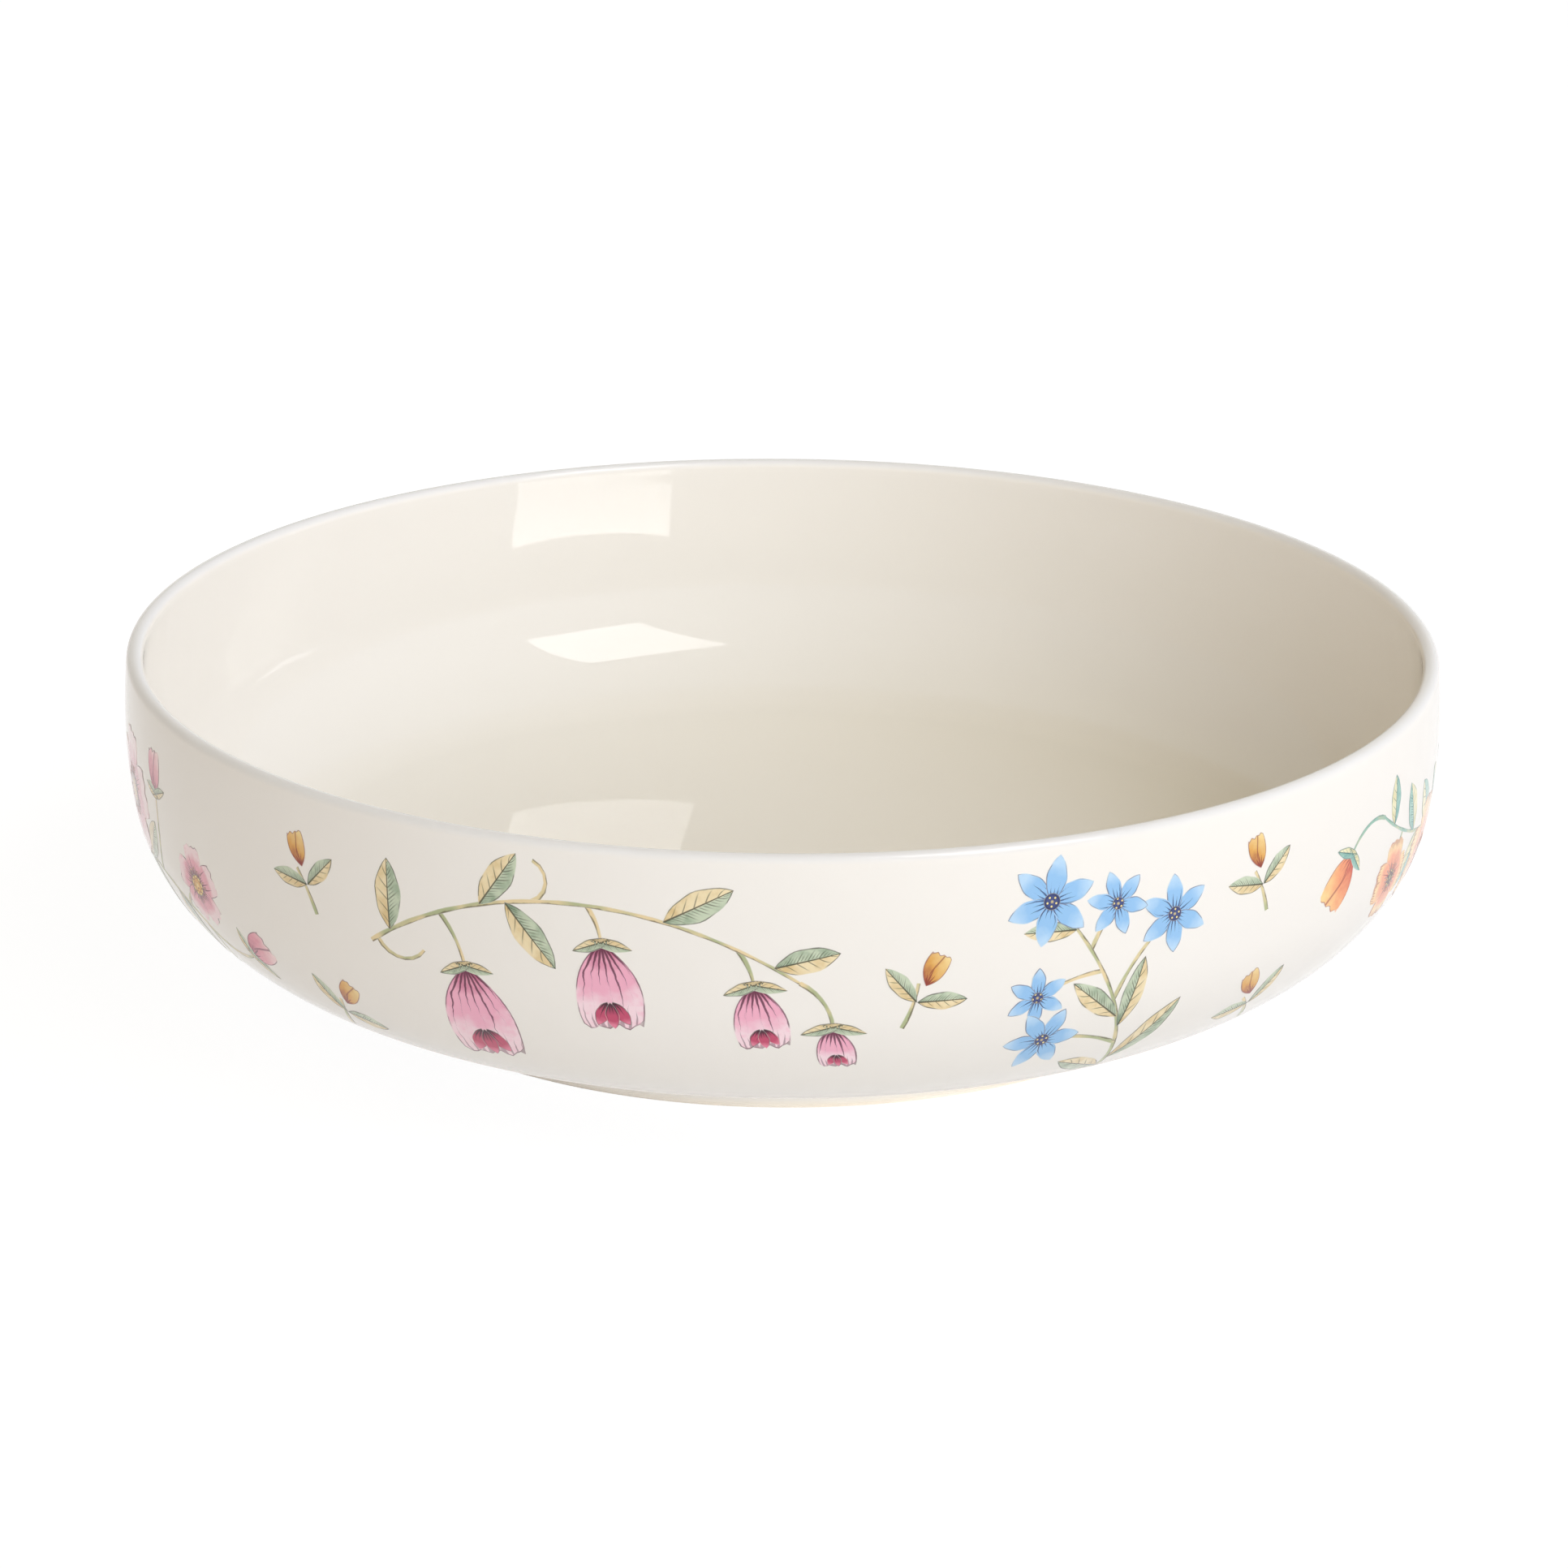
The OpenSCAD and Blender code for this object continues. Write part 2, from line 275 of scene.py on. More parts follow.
class Finish:
    """One finish, made into a Blender material the first time that it is asked for."""

    name: str

    def dress(self, graph: Graph) -> dict[str, Any]:
        """Writes the finish's nodes and gives the shader's inputs."""
        raise NotImplementedError

    def material(self) -> bpy.types.Material:
        """The finish as a material.

        Returns:
            The material, the same one each time.
        """
        known = bpy.data.materials.get(self.name)
        if known:
            return known
        made = bpy.data.materials.new(self.name)
        graph = Graph(made)
        shader = graph.node("ShaderNodeBsdfPrincipled", None, self.dress(graph))
        graph.node("ShaderNodeOutputMaterial", None, {"Surface": shader})
        made.diffuse_color = PREVIEW
        return made


@dataclass(frozen=True)
class ClearGlaze(Finish):
    """Cream glaze over white clay, glassy. The lip is painted cooler, as painted light. The foot is
    warmer, partly from pooled glaze and partly from painted light.
    """

    name: str = "clear_cream_glaze"
    cream: Colour = ink(243, 240, 232)
    deep: Colour = ink(240, 236, 226)
    # Painted light: the lip's cooler tone stands in for the cool light that the lip catches.
    lip: Colour = ink(232, 232, 230)
    # Partly glaze pooled at the foot and partly painted light: this warm, pale tone stands in for
    # light from below.
    foot: Colour = ink(244, 236, 220)
    painted_lip_light_heights: Flat = (67.8, 69.3)
    foot_pool_and_light_heights: Flat = (1.0, 2.8)
    foot_from: float = 85.0

    def dress(self, graph: Graph) -> dict[str, Any]:
        """Writes faint pooling, painted cool light on the lip, a warm foot that is partly pooled
        glaze and partly painted light, and the waviness of a fired glaze.

        Args:
            graph: Node tree to write in.

        Returns:
            The shader's inputs.
        """
        place = graph.node("ShaderNodeTexCoord", output="Object")
        x, y, z = graph.split(place)
        height = z / MM
        reach = (x * x + y * y) ** 0.5 / MM
        pooled = graph.cloud(place, 9.0, 1.0)
        colour = graph.mix(pooled.rise(0.2, 0.8) * 0.35, self.cream, self.deep)
        # Painted cool light on the lip.
        colour = graph.mix(height.rise(*self.painted_lip_light_heights), colour, self.lip)
        # Warm foot tone: partly pooled glaze, partly painted light from below.
        foot_pool_and_light = height.fall(*self.foot_pool_and_light_heights) * (reach > self.foot_from)
        colour = graph.mix(foot_pool_and_light, colour, self.foot)
        rings = (reach * 1.3 + pooled * 2.0).maths("SINE") * height.fall(10.0, 16.0)
        waves = graph.cloud(place, 40.0, 1.0) + rings * 0.02
        return {
            "Base Color": colour,
            "Roughness": 0.02 + pooled * 0.012,
            "Normal": graph.bump(waves, 0.05, 0.0002),
            "IOR": 1.55,
        }


@dataclass(frozen=True)
class BareClay(Finish):
    """Fired clay that was wiped free of glaze, dry and matt."""

    name: str = "bare_fired_clay"
    pale: Colour = ink(243, 236, 222)
    toasted: Colour = ink(236, 224, 204)

    def dress(self, graph: Graph) -> dict[str, Any]:
        """Writes a sandy grain and a toasted tone in patches.

        Args:
            graph: Node tree to write in.

        Returns:
            The shader's inputs.
        """
        place = graph.node("ShaderNodeTexCoord", output="Object")
        grain = graph.cloud(place, 2600.0, 3.0)
        patches = graph.cloud(place, 45.0, 2.0)
        colour = graph.mix(patches.rise(0.4, 0.7) * 0.6 + grain * 0.3, self.pale, self.toasted)
        return {
            "Base Color": colour,
            "Roughness": 0.78 + grain * 0.15,
            "Normal": graph.bump(grain, 0.35, 0.0001),
        }


class Brush:
    """What a drawn finish reads from its patch: places on it in millimetres and in shares."""

    def __init__(self, graph: Graph) -> None:
        """Reads the patch's attributes.

        Args:
            graph: Node tree to write in.
        """
        self.graph = graph
        self.x, self.y, self.room = graph.split(graph.attribute("drawn"))
        self.across, self.along, self.sort = graph.split(graph.attribute("share"))
        self.spot = graph.vector(self.x + self.sort * 40, self.y, self.sort * 7)

    def wash(self, scale: float, detail: float = 2.0) -> Value:
        """Uneven wash of colour, with a scale in patches per millimetre."""
        return self.graph.cloud(self.spot, scale, detail)

    def outline(self, weight: float, gaps: float = 0.45) -> Value:
        """Drawn edge of uneven weight, in millimetres, with gaps in it.

        Args:
            weight: Width of the line.
            gaps: How readily the line breaks off.

        Returns:
            Strength of the line.
        """
        uneven = self.wash(0.45) * 1.4 + 0.3
        line = self.room.fall(uneven * (weight * 0.55), uneven * (weight * 1.1))
        return line * self.wash(0.23, 0.0).rise(gaps - 0.1, gaps + 0.06)

    def rays(self, count: float, reach: float, weight: float, from_tip: bool = False) -> Value:
        """Fine lines that run out from the base, or in from the tip, each to its own length.

        Args:
            count: How many lines lie side by side.
            reach: Share of the way that a long line covers.
            weight: Width of a line at its start, in millimetres.
            from_tip: True for lines that start at the tip.

        Returns:
            1 on a line, 0 between the lines.
        """
        sway = (self.wash(0.3) - 0.5) * 0.9
        phase = (self.across * 0.5 + 0.5) * count + sway + self.sort * 3
        index = phase.maths("FLOOR")
        beside = abs(phase - index - 0.5) * (abs(self.x) + self.room) * (2 / count)
        way = 1 - self.along if from_tip else self.along
        own = self.graph.chance(index + self.sort * 17) * (0.6 * reach) + 0.45 * reach
        taper = way.fall(own * 0.25, own)
        return beside.fall(taper * (weight * 0.3), taper * (weight * 0.6) + 0.02) * (taper > 0.02)

    def faded(self, colour: Value, amount: float, width: float = 0.35) -> Value:
        """Colour that thins out towards the patch's edge and lets the glaze show."""
        return self.graph.mix(self.room.fall(0.0, width) * amount, colour, GLAZE_SEEN)


@dataclass(frozen=True)
class Enamel(Finish):
    """Fired enamel colour, drawn with a pen and washed in."""

    name: str
    line: Colour = ink(70, 50, 60)
    line_share: float = 0.9

    def paint(self, brush: Brush) -> tuple[Value, Value]:
        """Gives the wash of colour and the share of pen lines on it."""
        raise NotImplementedError

    def dress(self, graph: Graph) -> dict[str, Any]:
        """Lays the pen lines over the wash and fires both to a gloss.

        Args:
            graph: Node tree to write in.

        Returns:
            The shader's inputs.
        """
        brush = Brush(graph)
        wash, lines = self.paint(brush)
        colour = graph.mix(lines * self.line_share, wash, self.line)
        return {
            "Base Color": brush.faded(colour, 0.35, 0.2),
            "Roughness": 0.07 + lines * 0.08,
            "Normal": graph.bump(lines, 0.1, 0.00003),
            "IOR": 1.5,
        }


@dataclass(frozen=True)
class PetalEnamel(Enamel):
    """Petal that goes from a deep base to a pale tip, with rays of fine lines."""

    deep: Colour = ink(120, 40, 60)
    middle: Colour = ink(200, 110, 120)
    light: Colour = ink(235, 180, 180)
    deep_end: float = 0.22
    light_start: float = 0.85
    rays: float = 8
    reach: float = 0.6
    weight: float = 0.4
    edge: float = 0.22
    gaps: float = 0.45
    tip_rays: bool = False

    def paint(self, brush: Brush) -> tuple[Value, Value]:
        """Gives the graded wash and the lines of one petal.

        Args:
            brush: What is known of each point of a patch.

        Returns:
            The wash, and the strength of the lines over it.
        """
        uneven = brush.along + (brush.wash(0.35, 3.0) - 0.5) * 0.42
        wash = brush.graph.ramp(
            uneven,
            (0.02, self.deep),
            (self.deep_end, self.middle),
            ((self.deep_end + self.light_start) / 2, self.middle),
            (self.light_start, self.light),
        )
        shade = brush.wash(0.8, 1.0).rise(0.5, 0.75) * abs(brush.across).rise(0.2, 1.0)
        wash = brush.graph.mix(shade * 0.45, wash, self.middle)
        lines = brush.rays(self.rays, self.reach, self.weight)
        if self.tip_rays:
            lines = lines.most(brush.rays(self.rays * 1.3, 0.3, self.weight * 0.7, True) * 0.6)
        return wash, lines.most(brush.outline(self.edge, self.gaps))


@dataclass(frozen=True)
class LeafEnamel(Enamel):
    """Leaf with one half paler than the other, a midrib, side veins and a shaded base."""

    near: Colour = ink(240, 224, 182)
    near_deep: Colour = ink(216, 188, 128)
    far: Colour = ink(200, 212, 184)
    far_deep: Colour = ink(126, 150, 120)
    veins: float = 6

    def paint(self, brush: Brush) -> tuple[Value, Value]:
        """Gives the two-toned wash and the veins of one leaf.

        Args:
            brush: What is known of each point of a patch.

        Returns:
            The wash, and the strength of the lines over it.
        """
        graph = brush.graph
        uneven = brush.wash(0.4, 3.0)
        depth = (uneven.rise(0.35, 0.7) * 0.6 + brush.along.fall(0.0, 0.45) * 0.5).least(1.0)
        near = graph.mix(depth, self.near, self.near_deep)
        far = graph.mix(depth, self.far, self.far_deep)
        side = brush.across * ((brush.sort > 0.5) * 2 - 1)
        wash = graph.mix((side + (uneven - 0.5) * 0.3).rise(-0.06, 0.1), near, far)
        phase = brush.along * self.veins - abs(brush.across) * 1.1 + brush.sort
        vein = abs(phase.maths("FRACT") - 0.5).fall(0.03, 0.1)
        vein = vein * abs(brush.across).fall(0.35, 0.95) * 0.75
        fine = abs((phase * 3).maths("FRACT") - 0.5).fall(0.1, 0.25)
        fine = fine * side.rise(0.05, 0.15) * abs(brush.across).fall(0.25, 0.7) * 0.55
        rib_half = 0.24 - brush.along * 0.14
        rib = abs(brush.x).fall(rib_half * 0.5, rib_half)
        lines = vein.most(fine).most(rib).most(brush.outline(0.24, 0.42))
        return wash, lines


@dataclass(frozen=True)
class StemEnamel(Enamel):
    """Stem with a dark edge on its shaded side."""

    pale: Colour = ink(232, 212, 164)
    green: Colour = ink(176, 184, 138)

    def paint(self, brush: Brush) -> tuple[Value, Value]:
        """Gives the wash of a stem and its dark edge.

        Args:
            brush: What is known of each point of a patch.

        Returns:
            The wash, and the strength of the lines over it.
        """
        tone = brush.wash(0.12, 2.0).rise(0.38, 0.62)
        wash = brush.graph.mix(tone, self.pale, self.green)
        sway = (brush.wash(0.5) - 0.5) * 1.6
        return wash, (brush.across + sway).rise(0.25, 0.8) * 0.9


@dataclass(frozen=True)
class HeartEnamel(Enamel):
    """Round heart of a flower, with a ring of dots."""

    rim: Colour = ink(120, 60, 50)
    middle: Colour = ink(225, 170, 80)
    centre: Colour = ink(250, 225, 150)
    radius: float = 3.0
    dots: int = 9
    dot_colour: Colour = ink(250, 220, 130)

    def paint(self, brush: Brush) -> tuple[Value, Value]:
        """Gives the rings and the dots of one heart.

        Args:
            brush: What is known of each point of a patch.

        Returns:
            The wash, and the strength of the lines over it.
        """
        graph = brush.graph
        out = (brush.x * brush.x + brush.y * brush.y) ** 0.5 / self.radius
        uneven = out + (brush.wash(1.2) - 0.5) * 0.3
        wash = graph.ramp(
            uneven, (0.0, self.centre), (0.3, self.middle), (0.72, self.middle), (0.95, self.rim)
        )
        turn = brush.y.maths("ARCTAN2", brush.x) * (self.dots / math.tau) + brush.sort * 5
        beside = (turn.maths("FRACT") - 0.5) * (math.tau / self.dots * 0.66)
        off = (beside * beside + (out - 0.66) * (out - 0.66)) ** 0.5
        wash = graph.mix(off.fall(0.11, 0.19), wash, self.dot_colour)
        ring = abs(off - 0.2).fall(0.02, 0.06) * 0.7
        specks = brush.wash(2.6, 0.0).rise(0.62, 0.7) * out.fall(0.4, 0.5)
        return wash, ring.most(specks).most(brush.outline(0.25, 0.3))


@dataclass(frozen=True)
class BudEnamel(Enamel):
    """Closed bud, dark where its petals wrap and pale along one side."""

    deep: Colour = ink(165, 80, 50)
    middle: Colour = ink(222, 165, 80)
    light: Colour = ink(244, 218, 150)
    rays: float = 5

    def paint(self, brush: Brush) -> tuple[Value, Value]:
        """Gives the wash and the wrapped petals of one bud.

        Args:
            brush: What is known of each point of a patch.

        Returns:
            The wash, and the strength of the lines over it.
        """
        graph = brush.graph
        uneven = brush.along * 0.7 + (brush.wash(0.5, 3.0) - 0.5) * 0.5 + brush.across * 0.18
        wash = graph.ramp(uneven, (0.0, self.deep), (0.35, self.middle), (0.8, self.light))
        fold = abs(brush.across + 0.55 - brush.along * 0.85).fall(0.03, 0.1)
        fold = fold * brush.along.rise(0.2, 0.4)
        lines = brush.rays(self.rays, 0.65, 0.36).most(fold * 0.8).most(brush.outline(0.24, 0.4))
        return wash, lines


class Palette:
    """All the fired colours of the sprays."""

    rose = PetalEnamel(
        "rose_petal_enamel", line=ink(92, 22, 52), deep=ink(128, 36, 70), middle=ink(236, 166, 180),
        light=ink(249, 222, 224), deep_end=0.4, light_start=0.78, rays=11, reach=0.78, weight=0.5,
        gaps=0.5,
    )
    rose_bud = BudEnamel(
        "rose_bud_enamel", line=ink(104, 30, 58), deep=ink(176, 72, 98), middle=ink(232, 150, 166),
        light=ink(248, 214, 214),
    )
    rose_heart = HeartEnamel("rose_heart_enamel", line=ink(96, 50, 40))
    star = PetalEnamel(
        "star_petal_enamel", line=ink(38, 58, 112), deep=ink(84, 132, 196),
        middle=ink(146, 194, 234), light=ink(186, 218, 242), rays=4, reach=0.6, weight=0.34,
        edge=0.2, gaps=0.5,
    )
    star_heart = HeartEnamel(
        "star_heart_enamel", line=ink(30, 40, 80), rim=ink(44, 58, 110), middle=ink(60, 74, 130),
        centre=ink(236, 214, 130), radius=1.4, dots=5, dot_colour=ink(244, 226, 150),
    )
    bell = PetalEnamel(
        "bell_petal_enamel", line=ink(88, 18, 52), deep=ink(186, 70, 116),
        middle=ink(242, 176, 198), light=ink(250, 222, 228), deep_end=0.3, light_start=0.75, rays=7,
        reach=0.85, weight=0.5, edge=0.3, gaps=0.38, tip_rays=True,
    )
    bell_lining = PetalEnamel(
        "bell_lining_enamel", line=ink(56, 10, 36), deep=ink(78, 14, 46), middle=ink(196, 70, 106),
        light=ink(226, 128, 154), deep_end=0.45, rays=4, reach=0.7, weight=0.3, edge=0.18,
    )
    poppy = PetalEnamel(
        "poppy_petal_enamel", line=ink(156, 58, 62), deep=ink(222, 96, 88),
        middle=ink(244, 162, 124), light=ink(251, 216, 158), deep_end=0.32, light_start=0.8,
        rays=11, reach=0.7, weight=0.4, tip_rays=True, gaps=0.5,
    )
    poppy_bud = BudEnamel(
        "poppy_bud_enamel", line=ink(166, 64, 52), deep=ink(212, 96, 72), middle=ink(242, 156, 104),
        light=ink(250, 212, 140),
    )
    poppy_heart = HeartEnamel(
        "poppy_heart_enamel", line=ink(50, 30, 44), rim=ink(74, 40, 54), middle=ink(96, 60, 66),
        centre=ink(196, 204, 150), radius=2.6, dots=8, dot_colour=ink(236, 206, 130),
    )
    filament = StemEnamel(
        "filament_enamel", line=ink(90, 44, 44), pale=ink(196, 128, 84), green=ink(130, 70, 60),
    )
    sprig_bud = BudEnamel("sprig_bud_enamel", line=ink(140, 52, 40))
    sage_leaf = LeafEnamel("sage_leaf_enamel", line=ink(64, 66, 48))
    sage_stem = StemEnamel("sage_stem_enamel", line=ink(92, 80, 54))
    teal_leaf = LeafEnamel(
        "teal_leaf_enamel", line=ink(48, 112, 106), near=ink(238, 232, 190),
        near_deep=ink(214, 204, 146), far=ink(154, 200, 186), far_deep=ink(88, 156, 148),
    )
    teal_stem = StemEnamel(
        "teal_stem_enamel", line=ink(86, 138, 126), pale=ink(216, 206, 156),
        green=ink(140, 186, 166),
    )


# --- the turned form ---


@dataclass(frozen=True)
class Arc:
    """Arc of the profile, in millimetres from the axis and above the table."""

    centre: Flat
    radius: float

    def point(self, angle: float, depth: float = 0.0) -> Flat:
        """Point at an angle in degrees, moved inwards by the depth.

        Args:
            angle: Angle on the arc.
            depth: How far inwards the point moves.

        Returns:
            The point.
        """
        turn = math.radians(angle)
        reach = self.radius - depth
        return (self.centre[0] + reach * math.cos(turn), self.centre[1] + reach * math.sin(turn))

    def reach_at(self, height: float, lift: float) -> float:
        """Distance from the axis at a height, on the arc moved outwards by the lift."""
        rise = height - self.centre[1]
        return self.centre[0] + math.sqrt((self.radius + lift) ** 2 - rise**2)

    def run(self, start: float, end: float, step: float, depth: float = 0.0) -> list[Flat]:
        """Points from one angle to another, about a step apart.

        Args:
            start: First angle, in degrees.
            end: Last angle.
            step: Wanted distance between points.
            depth: How far inwards the points move.

        Returns:
            The points in order.
        """
        length = abs(math.radians(end - start)) * (self.radius - depth)
        parts = max(2, math.ceil(length / step))
        return [self.point(start + (end - start) * i / parts, depth) for i in range(parts + 1)]


@dataclass(frozen=True)
class BowlProfile:
    """Profile of the bowl: wall, turn and base arcs, each tangent to the next, lip and foot."""

    bowl_d: float
    bowl_h: float
    belly_h: float = 54.5
    wall_arc_r: float = 112.0
    turn_arc_r: float = 34.5
    base_arc_r: float = 900.0
    wall_t: float = 3.5
    underside_h: float = 3.2
    foot_d: float = 193.0
    foot_w: float = 4.6
    foot_tip_r: float = 1.0
    foot_fillet_r: float = 2.5
    bare_tip_h: float = 1.0
    glaze_t: float = 0.25

    @cached_property
    def wall(self) -> Arc:
        """Long arc of the outer wall."""
        return Arc((self.bowl_d / 2 - self.wall_arc_r, self.belly_h), self.wall_arc_r)

    @cached_property
    def base(self) -> Arc:
        """Shallow dish of the base."""
        return Arc((0.0, self.underside_h + self.base_arc_r), self.base_arc_r)

    @cached_property
    def turn(self) -> Arc:
        """Turn between the wall and the base, tangent to both.

        Returns:
            The arc of the turn.
        """
        (wx, wy), (bx, by) = self.wall.centre, self.base.centre
        from_wall = self.wall_arc_r - self.turn_arc_r
        from_base = self.base_arc_r - self.turn_arc_r
        gap = math.hypot(bx - wx, by - wy)
        along = (from_wall**2 - from_base**2 + gap**2) / (2 * gap)
        off = math.sqrt(from_wall**2 - along**2)
        ux, uy = (bx - wx) / gap, (by - wy) / gap
        return Arc((wx + along * ux + off * uy, wy + along * uy - off * ux), self.turn_arc_r)

    @staticmethod
    def heading(start: Flat, end: Flat) -> float:
        """Direction from one point to another, in degrees."""
        return math.degrees(math.atan2(end[1] - start[1], end[0] - start[0]))

    @cached_property
    def wall_end(self) -> float:
        """Angle at which the wall passes into the turn."""
        return self.heading(self.wall.centre, self.turn.centre)

    @cached_property
    def turn_end(self) -> float:
        """Angle at which the turn passes into the base."""
        return self.heading(self.base.centre, self.turn.centre)

    @cached_property
    def lip_angle(self) -> float:
        """Angle on the wall's arc at which the lip's rounding sits.

        Returns:
            The angle, in degrees.
        """
        lip_r = self.wall_t / 2
        return math.degrees(
            math.asin((self.bowl_h - lip_r - self.belly_h) / (self.wall_arc_r - lip_r))
        )

    def reach(self, height: float, lift: float) -> float:
        """Distance of the outer wall from the axis at a height, moved outwards by the lift.

        Args:
            height: Height on the wall.
            lift: How far outwards.

        Returns:
            The distance.
        """
        joint = self.wall.point(self.wall_end)[1]
        arc = self.wall if height > joint else self.turn
        return arc.reach_at(height, lift)

    def foot_face(self, radius: float, side: int, inset: float, foot: float) -> list[Flat]:
        """Face of the foot from a height upwards, with the fillet at its root.

        Args:
            radius: Distance of the face from the axis.
            side: 1 for the outer face, -1 for the inner one.
            inset: Depth below the glaze's surface.
            foot: Height at which the face starts.

        Returns:
            Points from the foot's end of the face to the underside.
        """
        fillet_r = self.foot_fillet_r - inset
        cx = radius + side * fillet_r
        cy = self.base.centre[1] - math.sqrt((self.base_arc_r - inset + fillet_r) ** 2 - cx**2)
        fillet = Arc((cx, cy), fillet_r)
        touch = self.heading((cx, cy), self.base.centre)
        start = 180.0 if side > 0 else 0.0
        return [(radius, foot), *fillet.run(start, touch, 0.5)]

    def underside(self, inset: float, foot: float, step: float) -> list[Flat]:
        """Inner face of the foot and the underside, from the foot to the axis.

        Args:
            inset: Depth below the glaze's surface.
            foot: Height at which the face starts.
            step: Wanted distance between points.

        Returns:
            The points in order.
        """
        face = self.foot_face(self.foot_d / 2 - self.foot_w + inset, -1, inset, foot)
        start = self.heading(self.base.centre, face[-1])
        return face + self.base.run(start, -90.0, step * 3, inset)[1:]

    def outside(self, inset: float, foot: float, step: float) -> list[Flat]:
        """Outer face of the foot, wall, lip, inner wall and floor, from the foot to the axis.

        Args:
            inset: Depth below the glaze's surface.
            foot: Height at which the face starts.
            step: Wanted distance between points.

        Returns:
            The points in order.
        """
        face = self.foot_face(self.foot_d / 2 - inset, 1, inset, foot)
        start = self.heading(self.base.centre, face[-1])
        inner = self.wall_t - inset
        lip_r = self.wall_t / 2
        lip = Arc(self.wall.point(self.lip_angle, lip_r), lip_r - inset)
        return (
            face
            + self.base.run(start, self.turn_end, step, inset)[1:]
            + self.turn.run(self.turn_end, self.wall_end, step, inset)[1:]
            + self.wall.run(self.wall_end, self.lip_angle, step, inset)[1:]
            + lip.run(self.lip_angle, self.lip_angle + 180.0, 0.35)[1:]
            + self.wall.run(self.lip_angle, self.wall_end, step, inner)[1:]
            + self.turn.run(self.wall_end, self.turn_end, step, inner)[1:]
            + self.base.run(self.turn_end, -90.0, step * 2.5, inner)[1:]
        )

    def glaze_sections(self) -> list[list[Flat]]:
        """Sections of the two coats of glaze, each open only where it meets the axis.

        Returns:
            One chain of points for each coat.
        """
        edge = self.bare_tip_h + self.glaze_t
        hidden = {"inset": self.glaze_t, "foot": self.bare_tip_h, "step": 5.0}
        bead_out = Arc((self.foot_d / 2 - self.glaze_t, edge), self.glaze_t).run(0, -90, 0.1)
        foot_in = self.foot_d / 2 - self.foot_w
        bead_in = Arc((foot_in + self.glaze_t, edge), self.glaze_t).run(180, 270, 0.1)
        main = self.outside(0.0, edge, 1.6)[::-1] + bead_out[1:-1] + self.outside(**hidden)
        below = self.underside(0.0, edge, 2.0)[::-1] + bead_in[1:-1] + self.underside(**hidden)
        return [main, below]

    def clay_section(self) -> list[Flat]:
        """Section of the clay under the glaze, open only where it meets the axis.

        Returns:
            One chain of points.
        """
        tip_r, deep = self.foot_tip_r, self.glaze_t
        outer = self.foot_d / 2 - deep
        inner = self.foot_d / 2 - self.foot_w + deep
        tip_in = Arc((inner + tip_r, tip_r), tip_r).run(180, 270, 0.2)
        tip_out = Arc((outer - tip_r, tip_r), tip_r).run(270, 360, 0.2)
        below = self.underside(deep, tip_r, 4.0)[::-1]
        return below + tip_in[1:] + tip_out[:-1] + self.outside(deep, tip_r, 4.0)


def finish_mesh(mesh: bmesh.types.BMesh, name: str, sharp: float = 0.6) -> bpy.types.Object:
    """Turns a bmesh into a piece with smooth faces and sharp edges where it bends hard.

    Args:
        mesh: The bmesh, which is freed.
        name: Name of the piece.
        sharp: Angle between faces, in radians, past which an edge is sharp.

    Returns:
        The new object, at the origin and unturned.
    """
    for face in mesh.faces:
        face.smooth = True
    for edge in mesh.edges:
        edge.smooth = not edge.is_manifold or edge.calc_face_angle() < sharp
    data = bpy.data.meshes.new(name)
    mesh.to_mesh(data)
    mesh.free()
    piece = bpy.data.objects.new(name, data)
    bpy.context.scene.collection.objects.link(piece)
    return piece


def spun(sections: Iterable[Sequence[Flat]], segments: int, name: str) -> bpy.types.Object:
    """Spins sections round the axis into one closed piece.

    Args:
        sections: Chains of points, each with both its ends on the axis.
        segments: Steps in the full round, a multiple of the sectors.
        name: Name of the piece.

    Returns:
        The new piece.
    """
    mesh = bmesh.new()
    sector = math.tau / 2**SECTOR_DOUBLINGS
    for section in sections:
        chain = [mesh.verts.new((r * MM, 0.0, z * MM)) for r, z in section]
        edges = [mesh.edges.new(pair) for pair in zip(chain, chain[1:])]
        bmesh.ops.spin(
            mesh,
            geom=chain + edges,
            cent=(0, 0, 0),
            axis=(0, 0, 1),
            dvec=(0, 0, 0),
            angle=sector,
            steps=segments // 2**SECTOR_DOUBLINGS,
            use_merge=False,
            use_duplicate=False,
        )
    for doubling in range(SECTOR_DOUBLINGS):
        half = [*mesh.verts, *mesh.edges, *mesh.faces]
        copied = bmesh.ops.duplicate(mesh, geom=half)["geom"]
        verts = [item for item in copied if isinstance(item, bmesh.types.BMVert)]
        turn = Matrix.Rotation(sector * 2**doubling, 3, "Z")
        bmesh.ops.rotate(mesh, verts=verts, cent=(0, 0, 0), matrix=turn)
    bmesh.ops.remove_doubles(mesh, verts=mesh.verts, dist=1e-6)
    bmesh.ops.recalc_face_normals(mesh, faces=mesh.faces)
    return finish_mesh(mesh, name)


def register(piece: bpy.types.Object, node: str) -> None:
    """Makes a piece ride on the bowl and stand for a CAD node, and reports it.

    Args:
        piece: The finished piece.
        node: Name of the CAD node.
    """
    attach(piece, ROOT_BODY)
    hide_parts(node)
    LOG.info("%s stands for %s with %d faces", piece.name, node, len(piece.data.polygons))


@dataclass
class TurnedBowl:
    """The clay body and the glaze over it."""

    profile: BowlProfile
    glaze_segments: int = 288
    clay_segments: int = 192

    def build(self) -> None:
        """Spins the glaze and the clay."""
        glaze = spun(self.profile.glaze_sections(), self.glaze_segments, "clear_glaze")
        glaze.data.materials.append(ClearGlaze().material())
        register(glaze, "glaze_coat")
        clay = spun([self.profile.clay_section()], self.clay_segments, "clay_body")
        clay.data.materials.append(BareClay().material())
        register(clay, "porcelain_body")


# --- flat drawing of the sprays, in millimetres ---


